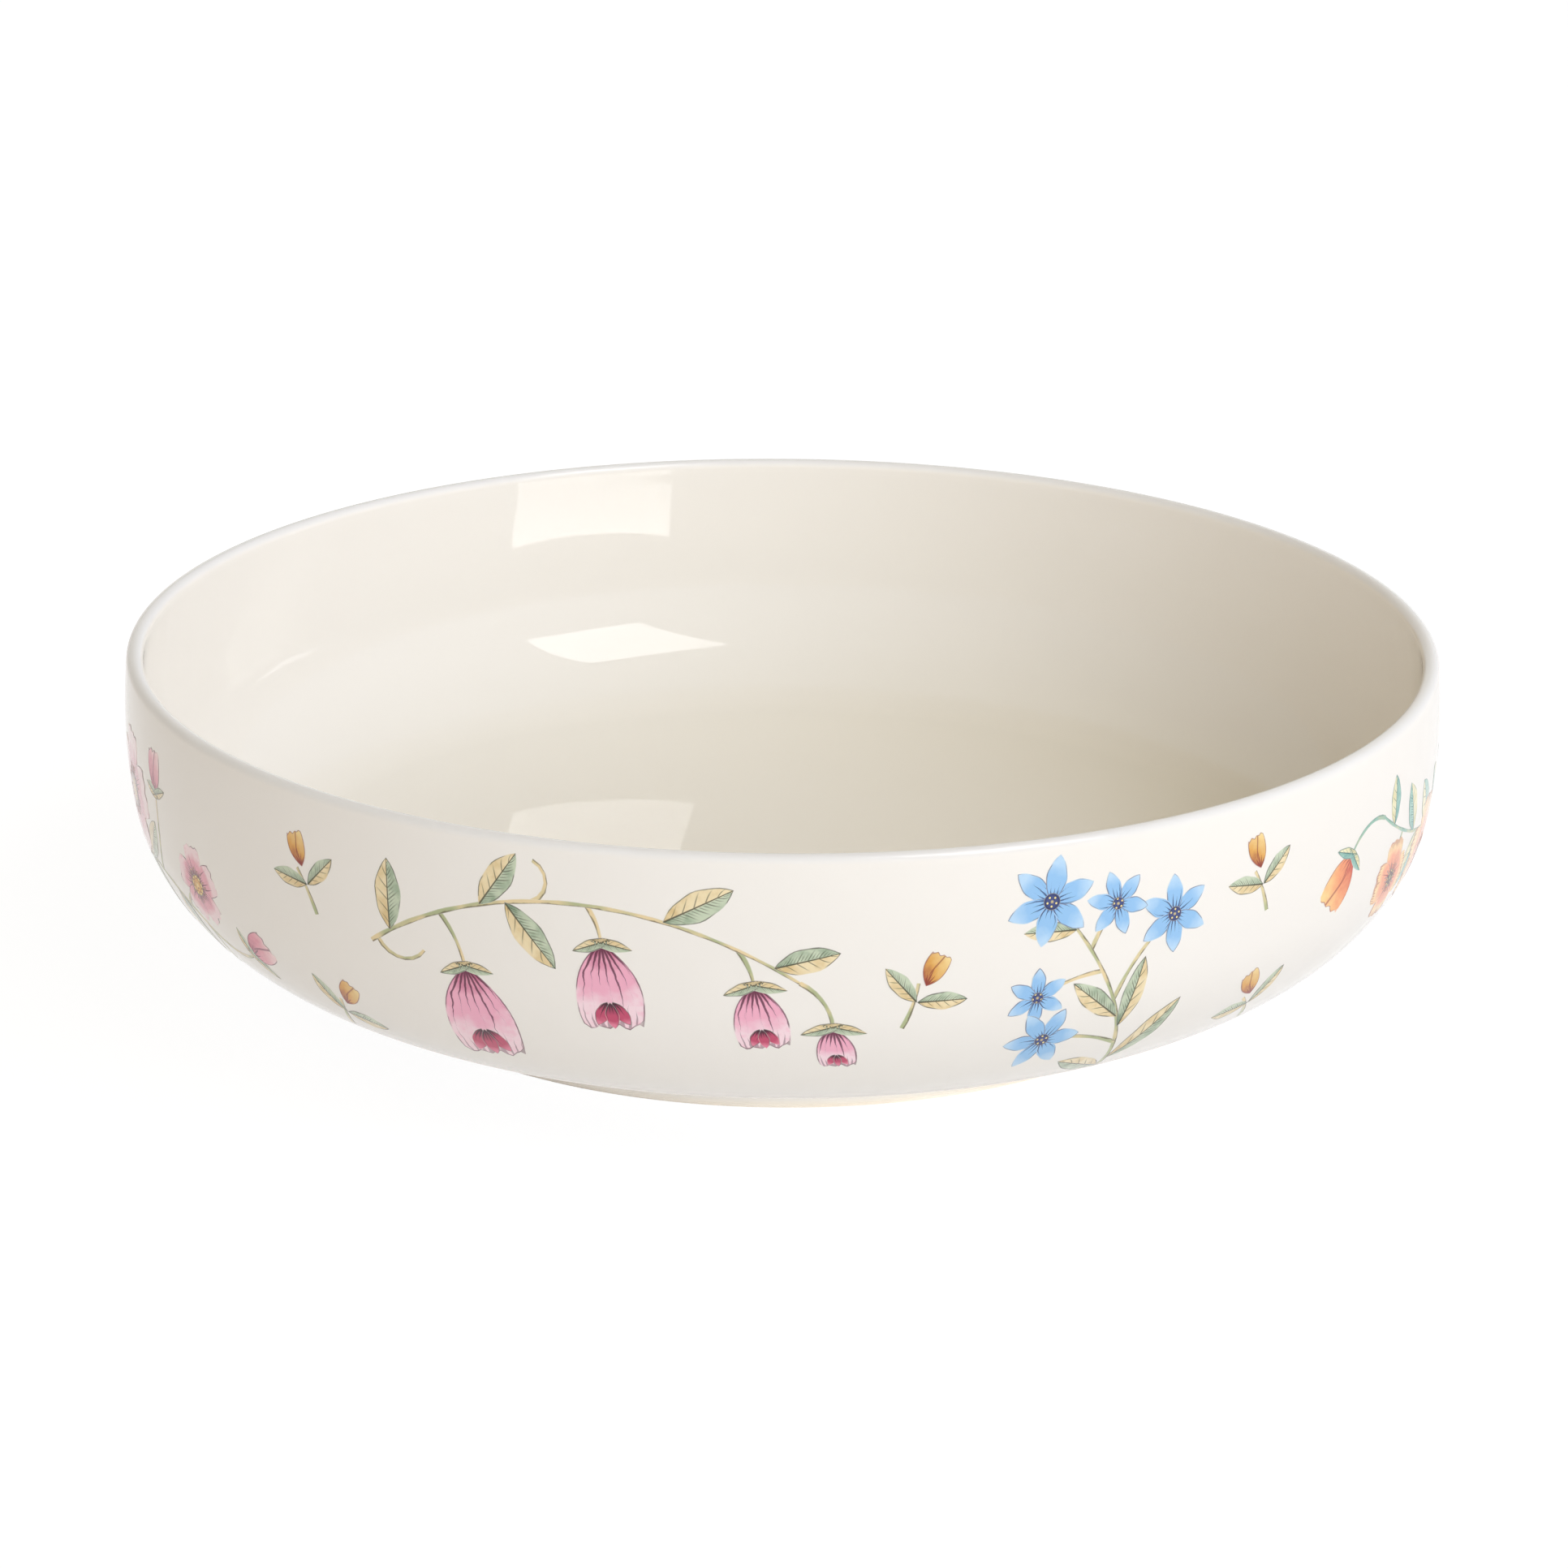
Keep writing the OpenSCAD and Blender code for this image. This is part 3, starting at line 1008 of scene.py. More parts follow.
@dataclass(frozen=True)
class Place:
    """Place and direction in a drawing. A heading of 0 is up, and a positive one is to the left."""

    x: float = 0.0
    y: float = 0.0
    heading: float = 0.0

    def flat(self, x: float, y: float) -> Flat:
        """Point of the drawing that lies at x, y as seen from this place.

        Args:
            x: Distance across the heading.
            y: Distance along it.

        Returns:
            The point.
        """
        turn = math.radians(self.heading)
        return (
            self.x + x * math.cos(turn) - y * math.sin(turn),
            self.y + x * math.sin(turn) + y * math.cos(turn),
        )

    def turned(self, angle: float) -> "Place":
        """The same point with its heading turned to the left."""
        return Place(self.x, self.y, self.heading + angle)

    def ahead(self, distance: float) -> "Place":
        """The place that lies straight ahead."""
        return Place(*self.flat(0.0, distance), self.heading)


class Outline:
    """Shape of a patch of enamel, growing from the origin along +Y."""

    def spot(self, across: float, along: float) -> tuple[float, float, float]:
        """Maps a share across and along onto the shape.

        Args:
            across: Share from -1 to 1 across the shape.
            along: Share from 0 to 1 along it.

        Returns:
            x and y in millimetres, and the room left to the edge.
        """
        raise NotImplementedError


@dataclass(frozen=True)
class PointedOval(Outline):
    """Oval between two equal arcs, its edges a little uneven, as a leaf or a narrow petal."""

    length: float
    width: float
    wave: float = 0.07
    waves: float = 2.5
    seed: float = 0.0

    def half(self, y: float) -> float:
        """Half the width of the plain oval at a distance from its base."""
        r = (self.length**2 + self.width**2) / (4 * self.width)
        return max(0.0, math.sqrt(r * r - (y - self.length / 2) ** 2) - (r - self.width / 2))

    def spot(self, across: float, along: float) -> tuple[float, float, float]:
        """Maps a share across and along onto the oval.

        Args:
            across: Share from -1 to 1 across the shape.
            along: Share from 0 to 1 along it.

        Returns:
            x and y in millimetres, and the room left to the edge.
        """
        y = self.length * along
        phase = math.tau * self.waves * along + self.seed * 9 + (1.3 if across > 0 else 0.0)
        half = self.half(y) * (1 - self.wave * (0.5 + 0.5 * math.sin(phase)))
        return across * half, y, half * (1 - abs(across)) * 0.95


@dataclass(frozen=True)
class RoundPetal(Outline):
    """Petal as broad as an oval a third longer, with a rounded and ruffled tip."""

    length: float
    width: float
    ruffle: float = 0.05
    notch: float = 0.04
    seed: float = 0.0

    def spread(self, reach: float) -> float:
        """Half the angle, in radians, that the petal covers at a distance from its base.

        Args:
            reach: The distance.

        Returns:
            Half the angle.
        """
        length = self.length * 4 / 3
        r = (length**2 + self.width**2) / (4 * self.width)
        side, up = r - self.width / 2, length / 2
        swing = (reach**2 + side**2 + up**2 - r**2) / (2 * reach * math.hypot(side, up))
        return math.acos(max(-1.0, min(1.0, swing))) - math.atan2(side, up)

    def spot(self, across: float, along: float) -> tuple[float, float, float]:
        """Maps a share across and along onto the petal.

        Args:
            across: Share from -1 to 1 across the shape.
            along: Share from 0 to 1 along it.

        Returns:
            x and y in millimetres, and the room left to the edge.
        """
        frill = 0.5 + 0.5 * math.cos(math.pi * 3.2 * across + self.seed * 11)
        dent = math.exp(-((across / 0.3) ** 2))
        tip = self.length * (1 - self.ruffle * frill - self.notch * dent)
        reach = along * (self.length + (tip - self.length) * along**3)
        uneven = 1 - 0.05 * (0.5 + 0.5 * math.sin(7 * along + self.seed * 13 + across))
        spread = self.spread(max(reach, 1e-3)) * uneven
        angle = across * spread
        side = reach * (spread - abs(angle))
        return reach * math.sin(angle), reach * math.cos(angle), min(side, tip - reach)


@dataclass(frozen=True)
class Disc(Outline):
    """Round dot, laid from its lower end to its upper one."""

    radius: float

    def spot(self, across: float, along: float) -> tuple[float, float, float]:
        """Maps a square of shares onto the round dot.

        Args:
            across: Share from -1 to 1 across the shape.
            along: Share from 0 to 1 along it.

        Returns:
            x and y in millimetres, and the room left to the edge.
        """
        u, v = across, 2 * along - 1
        x = u * math.sqrt(1 - v * v / 2)
        y = v * math.sqrt(1 - u * u / 2)
        reach = math.hypot(x, y)
        return self.radius * x, self.radius * y, self.radius * (1 - reach)


@dataclass(frozen=True)
class Stem(Outline):
    """Stem on an arc from a place, in its heading, through a sweep of degrees."""

    start: Place
    radius: float
    sweep: float
    width: float = 0.9

    def along(self, part: float) -> Place:
        """Place and heading at a part of the way, from 0 at the start to 1 at the tip.

        Args:
            part: Share of the way.

        Returns:
            The place with its heading.
        """
        turn = part * self.sweep
        across = self.radius * (math.cos(math.radians(turn)) - 1) * math.copysign(1, self.sweep)
        ahead = self.radius * math.sin(math.radians(abs(turn)))
        return Place(*self.start.flat(across, ahead), self.start.heading + turn)

    def branch(self, part: float, lean: float, radius: float, sweep: float) -> "Stem":
        """Stem that leaves this one at a part of its way, leaning from its heading."""
        return Stem(self.along(part).turned(lean), radius, sweep, self.width)

    @property
    def length(self) -> float:
        """Length of the stem along its arc."""
        return math.radians(abs(self.sweep)) * self.radius

    def spot(self, across: float, along: float) -> tuple[float, float, float]:
        """Maps a share across and along onto the stem's arc.

        Args:
            across: Share from -1 to 1 across the shape.
            along: Share from 0 to 1 along it.

        Returns:
            x and y in millimetres, and the room left to the edge.
        """
        uneven = 0.9 + 0.1 * math.sin(along * self.length * 0.9)
        half = self.width / 2 * uneven * (1 - 0.3 * along)
        x, y = self.along(along).flat(across * half, 0.0)
        return x, y, half * (1 - abs(across))


@dataclass(frozen=True)
class Patch:
    """One patch of enamel: its outline, its place, its finish and how high it stands."""

    outline: Outline
    place: Place
    finish: Enamel
    lift: float
    sort: float = 0.5
    scale: float = 1.0
    columns: int = 10
    rows: int = 14


@dataclass
class PrintedLayer:
    """Patches of enamel that are fired onto the wall as one piece."""

    profile: BowlProfile
    middle_h: float = 40.0
    size: float = 1.2
    sunk: float = 0.03
    mesh: bmesh.types.BMesh = field(default_factory=bmesh.new)
    finishes: list[Enamel] = field(default_factory=list)

    def __post_init__(self) -> None:
        """Adds the attributes that the enamel finishes read."""
        self.drawn = self.mesh.verts.layers.float_vector.new("drawn")
        self.share = self.mesh.verts.layers.float_vector.new("share")

    def on_wall(self, azimuth: float, flat: Flat, lift: float) -> Vector:
        """Point of the wall under a point of the drawing, moved outwards by the lift.

        Args:
            azimuth: Angle round the bowl of the drawing's middle, in degrees.
            flat: Point of the drawing.
            lift: How far outwards.

        Returns:
            The point of the wall.
        """
        side, height = flat[0] * self.size, self.middle_h + flat[1] * self.size
        reach = self.profile.reach(height, lift)
        local = Vector((math.sqrt(reach**2 - side**2), side, height)) * MM
        return Matrix.Rotation(math.radians(azimuth), 3, "Z") @ local

    def lay(self, patch: Patch, azimuth: float) -> None:
        """Models a patch as a thin closed slab that follows the wall.

        Args:
            patch: The patch.
            azimuth: Angle round the bowl of the drawing's middle, in degrees.
        """
        if patch.finish not in self.finishes:
            self.finishes.append(patch.finish)
        grid = bmesh.ops.create_grid(
            self.mesh, x_segments=patch.columns, y_segments=patch.rows, size=1.0
        )["verts"]
        faces = list({face for vert in grid for face in vert.link_faces})
        risen = bmesh.ops.extrude_face_region(self.mesh, geom=faces)["geom"]
        top = [item for item in risen if isinstance(item, bmesh.types.BMVert)]
        size = patch.scale * self.size
        for verts, lift in ((grid, -self.sunk), (top, patch.lift)):
            for vert in verts:
                across, along = vert.co.x, (vert.co.y + 1) / 2
                x, y, room = patch.outline.spot(across, along)
                flat = patch.place.flat(x * patch.scale, y * patch.scale)
                vert[self.drawn] = (x * size, y * size, room * size)
                vert[self.share] = (across, along, patch.sort)
                vert.co = self.on_wall(azimuth, flat, lift)
        made = grid + top
        bmesh.ops.remove_doubles(self.mesh, verts=made, dist=2e-6)
        kept = [vert for vert in made if vert.is_valid]
        slab = list({face for vert in kept for face in vert.link_faces})
        bmesh.ops.recalc_face_normals(self.mesh, faces=slab)
        for face in slab:
            face.material_index = self.finishes.index(patch.finish)

    def fire(self, node: str, slot: str) -> None:
        """Turns the layer into a piece that stands for its CAD node.

        Args:
            node: Name of the CAD node.
            slot: Name of its material slot; not used.
        """
        piece = finish_mesh(self.mesh, f"{node}_enamel")
        for finish in self.finishes:
            piece.data.materials.append(finish.material())
        register(piece, node)


class Layer(Enum):
    """Order in which the colours are printed, with the height of each above the glaze, in mm."""

    STEM = 0.030
    LEAF = 0.036
    PETAL = 0.052
    LINING = 0.074
    HEART = 0.088


@dataclass(frozen=True)
class LeafSpec:
    """Leaf of a stem: where it leaves, how far it leans, and its size."""

    part: float
    lean: float
    length: float
    width: float


def leaf_rows(*rows: tuple[float, float, float, float]) -> tuple[LeafSpec, ...]:
    """Leaves from rows of their four measures."""
    return tuple(LeafSpec(*row) for row in rows)


def scatter(index: int) -> float:
    """A fixed number from 0 to 1 for each index, which sets one patch apart from the next."""
    return (index * 0.618034 + 0.137) % 1.0


def around(azimuth: float) -> list[float]:
    """Directions in which a print is repeated round the bowl, in degrees, from its first one."""
    return [azimuth + turn * 360 / REPEATS for turn in range(REPEATS)]


def stem_patches(stems: Iterable[Stem], finish: Enamel) -> list[Patch]:
    """Patches of the stems, drawn from their own starts.

    Args:
        stems: The stems.
        finish: Their enamel.

    Returns:
        A patch for each stem.
    """
    made = []
    for i, stem in enumerate(stems):
        lift = Layer.STEM.value - 0.002 * min(i, 5)
        rows = max(6, math.ceil(stem.length / 1.5))
        made.append(Patch(stem, Place(), finish, lift, scatter(i), columns=4, rows=rows))
    return made


def leaf_patches(stem: Stem, leaves: Iterable[LeafSpec], finish: Enamel) -> list[Patch]:
    """Patches of a stem's leaves.

    Args:
        stem: The stem that they grow on.
        leaves: Where each leaf sits and its size.
        finish: Their enamel.

    Returns:
        A patch for each leaf.
    """
    made = []
    for i, leaf in enumerate(leaves):
        shape = PointedOval(leaf.length, leaf.width, seed=scatter(i))
        place = stem.along(leaf.part).turned(leaf.lean)
        made.append(Patch(shape, place, finish, Layer.LEAF.value + 0.002 * i, scatter(i + 3)))
    return made


def sepal_patches(stalks: Iterable[Stem], finish: Enamel) -> list[Patch]:
    """Patches of the two sepals at the base of each bud or bell.

    Args:
        stalks: The stalks of the buds or bells.
        finish: Their enamel.

    Returns:
        Two patches for each stalk.
    """
    made = []
    for stalk in stalks:
        for i, lean in enumerate((-74, 74)):
            shape = PointedOval(6.8, 2.1, seed=scatter(i))
            place = stalk.along(1).turned(lean).ahead(-1.8)
            made.append(Patch(shape, place, finish, Layer.PETAL.value + 0.012, scatter(i + 2)))
    return made


def petal_patches(
    outline: type[Outline], size: Flat, place: Place, count: int, finish: Enamel, scale: float = 1.0
) -> list[Patch]:
    """Patches of the petals round one flower's middle, each a little over the last.

    Args:
        outline: Shape of a petal.
        size: Its length and width.
        place: Middle of the flower.
        count: How many petals it has.
        finish: Their enamel.
        scale: Size of the flower.

    Returns:
        A patch for each petal.
    """
    made = []
    for i in range(count):
        shape = outline(*size, seed=scatter(i))
        turned = place.turned(i * 360 / count)
        lift = Layer.PETAL.value + 0.004 * i
        made.append(Patch(shape, turned, finish, lift, scatter(i + 1), scale, 12, 14))
    return made


@dataclass(frozen=True)
class Bloom:
    """One kind of flower: its petals, its round heart, the filaments round that, and its bud."""

    outline: type[Outline]
    petal: Flat
    count: int
    petal_finish: Enamel
    heart_r: float
    heart_finish: Enamel
    threads: int = 0
    thread_length: float = 0.0
    bud: Flat = (0.0, 0.0)
    bud_finish: Enamel | None = None

    def petals(self, middle: Place, size: float) -> list[Patch]:
        """Patches of an open flower's petals."""
        return petal_patches(self.outline, self.petal, middle, self.count, self.petal_finish, size)

    def heart(self, middle: Place, size: float) -> list[Patch]:
        """Patches of the thin filaments and their tips, and of the heart inside them.

        Args:
            middle: Middle of the flower.
            size: Size of the flower.

        Returns:
            The patches.
        """
        made = []
        lift = Layer.HEART.value - 0.006
        for i in range(self.threads):
            own = self.thread_length * (0.8 + 0.4 * scatter(i))
            turned = middle.turned(360 * (i + 0.3 * scatter(i + 5)) / self.threads)
            ray = turned.ahead(self.heart_r * 0.9 * size)
            tip = ray.ahead(own * size)
            thread, dot = PointedOval(own, 0.34, 0.0), Disc(0.36)
            made.append(Patch(thread, ray, Palette.filament, lift, scatter(i), size, 2, 6))
            made.append(Patch(dot, tip, Palette.sprig_bud, lift + 0.004, scatter(i), size, 4, 4))
        heart = Disc(self.heart_r)
        return [*made, Patch(heart, middle, self.heart_finish, Layer.HEART.value, scale=size)]

    def closed(self, place: Place) -> list[Patch]:
        """Patch of a closed bud."""
        return petal_patches(RoundPetal, self.bud, place, 1, self.bud_finish)


class Tip(Enum):
    """What a stem ends in."""

    FLOWER = "flower"
    BUD = "bud"
    BARE = "bare"


@dataclass(frozen=True)
class Twig:
    """Stem that leaves the branch: its tip, where it leaves, its lean, its radius, its sweep."""

    tip: Tip
    part: float
    lean: float
    radius: float
    sweep: float


@dataclass(frozen=True)
class Spray:
    """A flower spray. Its slots say which material slot each of its CAD nodes has."""

    name: str
    azimuth: float
    branch: Stem
    twigs: Sequence[Twig]
    leaves: Sequence[LeafSpec]
    bloom: Bloom
    sizes: Sequence[float]
    slots: Sequence[tuple[str, str]]
    stem_finish: Enamel = Palette.sage_stem
    leaf_finish: Enamel = Palette.sage_leaf
    sepals_on: Tip = Tip.BUD

    def stems(self, *tips: Tip) -> list[Stem]:
        """Stems that leave the branch and end in one of the tips."""
        chosen = (twig for twig in self.twigs if twig.tip in tips)
        return [self.branch.branch(t.part, t.lean, t.radius, t.sweep) for t in chosen]

    def flowers(self) -> tuple[list[Patch], list[Patch]]:
        """Patches of the petals and buds, and of the hearts with their filaments.

        Returns:
            Both lists of patches.
        """
        petals: list[Patch] = []
        hearts: list[Patch] = []
        for stalk, size in zip(self.stems(Tip.FLOWER), self.sizes):
            petals += self.bloom.petals(stalk.along(1), size)
            hearts += self.bloom.heart(stalk.along(1), size)
        for stalk in self.stems(Tip.BUD):
            petals += self.bloom.closed(stalk.along(1))
        return petals, hearts

    def foliage(self) -> list[Patch]:
        """Patches of all the green of the spray, stems first.

        Returns:
            The patches.
        """
        return (
            stem_patches([self.branch, *self.stems(*Tip)], self.stem_finish)
            + leaf_patches(self.branch, self.leaves, self.leaf_finish)
            + sepal_patches(self.stems(self.sepals_on), self.leaf_finish)
        )

    def build(self, profile: BowlProfile) -> None:
        """Prints the layer of each CAD node once for each repeat.

        Args:
            profile: Shape of the wall.
        """
        for (part, slot), patches in zip(self.slots, (*self.flowers(), self.foliage())):
            layer = PrintedLayer(profile)
            for azimuth in around(self.azimuth):
                for patch in patches:
                    layer.lay(patch, azimuth)
            layer.fire(f"{self.name}_{part}", slot)


@dataclass(frozen=True)
class RoseSpray(Spray):
    """A large rose, a small one and two buds on an arching branch."""

    name: str = "rose"
    azimuth: float = 203.0
    branch: Stem = Stem(Place(-33, -15, -52), 50, -66)
    twigs: Sequence[Twig] = (
        Twig(Tip.BARE, 0.95, -20, 5, -140),
        Twig(Tip.FLOWER, 0.36, 50, 30, 22),
        Twig(Tip.FLOWER, 0.86, 72, 20, -28),
        Twig(Tip.BUD, 0.66, 66, 26, 34),
        Twig(Tip.BUD, 1, 0, 12, 60),
    )
    leaves: Sequence[LeafSpec] = leaf_rows(
        (0.03, 20, 12, 5.4), (0.2, -55, 14, 6.5), (0.5, -50, 15, 6.5), (0.56, 52, 11, 5),
        (0.78, -48, 12, 5.6),
    )
    bloom: Bloom = Bloom(
        RoundPetal, (11.5, 9.5), 5, Palette.rose, 3.0, Palette.rose_heart, 15, 1.7,
        bud=(8.0, 6.0), bud_finish=Palette.rose_bud,
    )
    sizes: Sequence[float] = (1.0, 0.62)
    slots: Sequence[tuple[str, str]] = (
        ("petals", "rose_enamel"), ("eyes", "ochre_enamel"), ("foliage", "sage_enamel"),
    )


@dataclass(frozen=True)
class StarSpray(Spray):
    """Five blue stars of six petals on a forked stem with narrow leaves."""

    name: str = "star"
    azimuth: float = 296.0
    branch: Stem = Stem(Place(6, -21, 6), 62, 36)
    twigs: Sequence[Twig] = (
        Twig(Tip.FLOWER, 1, 0, 14, 6),
        Twig(Tip.FLOWER, 0.46, -40, 24, -40),
        Twig(Tip.FLOWER, 0.2, 44, 24, 36),
        Twig(Tip.FLOWER, 0.74, -52, 20, -24),
        Twig(Tip.FLOWER, 0.62, 62, 22, 30),
    )
    leaves: Sequence[LeafSpec] = leaf_rows(
        (0.08, -48, 15, 4.4), (0.36, 30, 12, 4), (0.3, -30, 13, 4), (0.86, 50, 9, 3.4),
        (0.02, 60, 11, 3.8),
    )
    bloom: Bloom = Bloom(PointedOval, (7.5, 3.6), 6, Palette.star, 1.4, Palette.star_heart)
    sizes: Sequence[float] = (1.0, 0.9, 0.85, 0.75, 0.7)
    slots: Sequence[tuple[str, str]] = (
        ("petals", "blue_enamel"), ("eyes", "ink_enamel"), ("foliage", "sage_enamel"),
    )


@dataclass(frozen=True)
class BellSpray(Spray):
    """Four plum bellflowers, one cup each, that hang from an arched branch."""

    name: str = "bell"
    azimuth: float = 253.0
    branch: Stem = Stem(Place(-33, 3, -52), 58, -74)
    twigs: Sequence[Twig] = (
        Twig(Tip.FLOWER, 0.2, -70, 16, -34),
        Twig(Tip.FLOWER, 0.54, -52, 12, -30),
        Twig(Tip.FLOWER, 0.86, -28, 12, -30),
        Twig(Tip.FLOWER, 1, 6, 9, -60),
        Twig(Tip.BARE, 0.42, 12, 3.5, 140),
        Twig(Tip.BARE, 0.02, -100, 5, 120),
    )
    leaves: Sequence[LeafSpec] = leaf_rows(
        (0.06, 58, 12, 5), (0.3, 40, 11, 4.8), (0.36, -62, 13, 5), (0.7, 42, 12, 5),
        (0.94, 46, 10, 4.4),
    )
    bloom: Bloom = Bloom(RoundPetal, (18.0, 13.0), 1, Palette.bell, 1.35, Palette.bell_lining)
    sizes: Sequence[float] = (1.0, 0.86, 0.66, 0.46)
    slots: Sequence[tuple[str, str]] = (
        ("petals", "plum_enamel"), ("linings", "deep_plum_enamel"), ("foliage", "sage_enamel"),
    )
    sepals_on: Tip = Tip.FLOWER

    def flowers(self) -> tuple[list[Patch], list[Patch]]:
        """Patches of the cups, and of the lobes in their mouths.

        Returns:
            Both lists of patches.
        """
        cups: list[Patch] = []
        lobes: list[Patch] = []
        cup_length = self.bloom.petal[0]
        for i, (stalk, size) in enumerate(zip(self.stems(Tip.FLOWER), self.sizes)):
            cups += self.bloom.petals(stalk.along(1), size)
            mouth = stalk.along(1).ahead(cup_length * 0.6 * size)
            for j, lean in enumerate((-28, 28, 0)):
                place = mouth.turned(lean).ahead(size)
                shape = PointedOval(cup_length * 0.31, 2 * self.bloom.heart_r, seed=scatter(j))
                lift, sort = Layer.LINING.value + 0.004 * j, scatter(i + j)
                lobes.append(Patch(shape, place, self.bloom.heart_finish, lift, sort, size, 6, 10))
        return cups, lobes


@dataclass(frozen=True)
class PoppySpray(Spray):
    """A large poppy, a small one and a bud among teal leaflets."""

    name: str = "poppy"
    azimuth: float = 339.0
    branch: Stem = Stem(Place(31, 4, 108), 60, -52)
    twigs: Sequence[Twig] = (
        Twig(Tip.BUD, 1, 8, 9, 80),
        Twig(Tip.BARE, 0.06, -118, 5, -130),
        Twig(Tip.FLOWER, 0.4, 66, 34, 12),
        Twig(Tip.FLOWER, 0.8, 78, 16, 30),
    )
    leaves: Sequence[LeafSpec] = leaf_rows(
        (0.02, -52, 11, 5), (0.14, 50, 11, 5), (0.2, -52, 12, 5.2), (0.44, -50, 12, 5.4),
        (0.66, -50, 11, 5), (0.6, 60, 11, 5), (0.9, -60, 9, 4.2),
    )
    bloom: Bloom = Bloom(
        RoundPetal, (12.0, 12.5), 4, Palette.poppy, 2.6, Palette.poppy_heart, 17, 1.9,
        bud=(10.0, 8.0), bud_finish=Palette.poppy_bud,
    )
    sizes: Sequence[float] = (1.0, 0.6)
    slots: Sequence[tuple[str, str]] = (
        ("petals", "coral_enamel"), ("eyes", "ink_enamel"), ("foliage", "teal_enamel"),
    )
    stem_finish: Enamel = Palette.teal_stem
    leaf_finish: Enamel = Palette.teal_leaf


@dataclass(frozen=True)
class Sprigs:
    """Small sprigs in the gaps between the sprays: a bud over two leaves."""

    places: tuple[tuple[float, float, float], ...] = (
        (229.5, 12, 20),
        (231.5, -12, -35),
        (281, 3, -25),
        (310.5, 13, 15),
        (312.5, -11, 30),
        (361.5, 12, -20),
        (363, -12, 25),
    )

    def build(self, profile: BowlProfile) -> None:
        """Prints all sprigs as one layer of buds and one of leaves.

        Args:
            profile: Shape of the wall.
        """
        buds, foliage = PrintedLayer(profile), PrintedLayer(profile)
        for azimuth, height, tilt in self.places:
            at = Place(0, height, tilt)
            bud = petal_patches(RoundPetal, (6, 4), at, 1, Palette.sprig_bud)[0]
            for toward in around(azimuth):
                buds.lay(bud, toward)
                for patch in self.greenery(at):
                    foliage.lay(patch, toward)
        buds.fire("sprig_buds", "ochre_enamel")
        foliage.fire("sprig_foliage", "sage_enamel")

    def greenery(self, at: Place) -> list[Patch]:
        """Patches of a sprig's stem and its two leaves.

        Args:
            at: Middle of the sprig.

        Returns:
            The patches.
        """
        root = Place(*at.flat(0, -8), at.heading)
        fork = Place(*at.flat(0, -3), at.heading)
        made = stem_patches([Stem(root, 26, 18)], Palette.sage_stem)
        for i, side in enumerate((-1, 1)):
            shape = PointedOval(8, 3.2, seed=scatter(i))
            lift = Layer.LEAF.value + 0.002 * i
            place = fork.turned(side * 65)
            made.append(Patch(shape, place, Palette.sage_leaf, lift, scatter(i + 2)))
        return made


# --- the studio ---


@dataclass(frozen=True)
class Band:
    """Light from one band of the surroundings, as its colour in each direction."""

    front: Light
    right: Light
    back: Light
    left: Light


class Shows(Enum):
    """What a lamp is for: the light itself, or its cloth in a first or a second reflection."""

    LIGHT = "light"
    GLOSS = "gloss"
    SECOND_GLOSS = "second gloss"


@dataclass(frozen=True)
class Lamp:
    """A flat lamp that faces the bowl, by its place, its size in metres and its power."""

    name: str
    place: tuple[float, float, float]
    size: Flat
    power: float
    shows: Shows


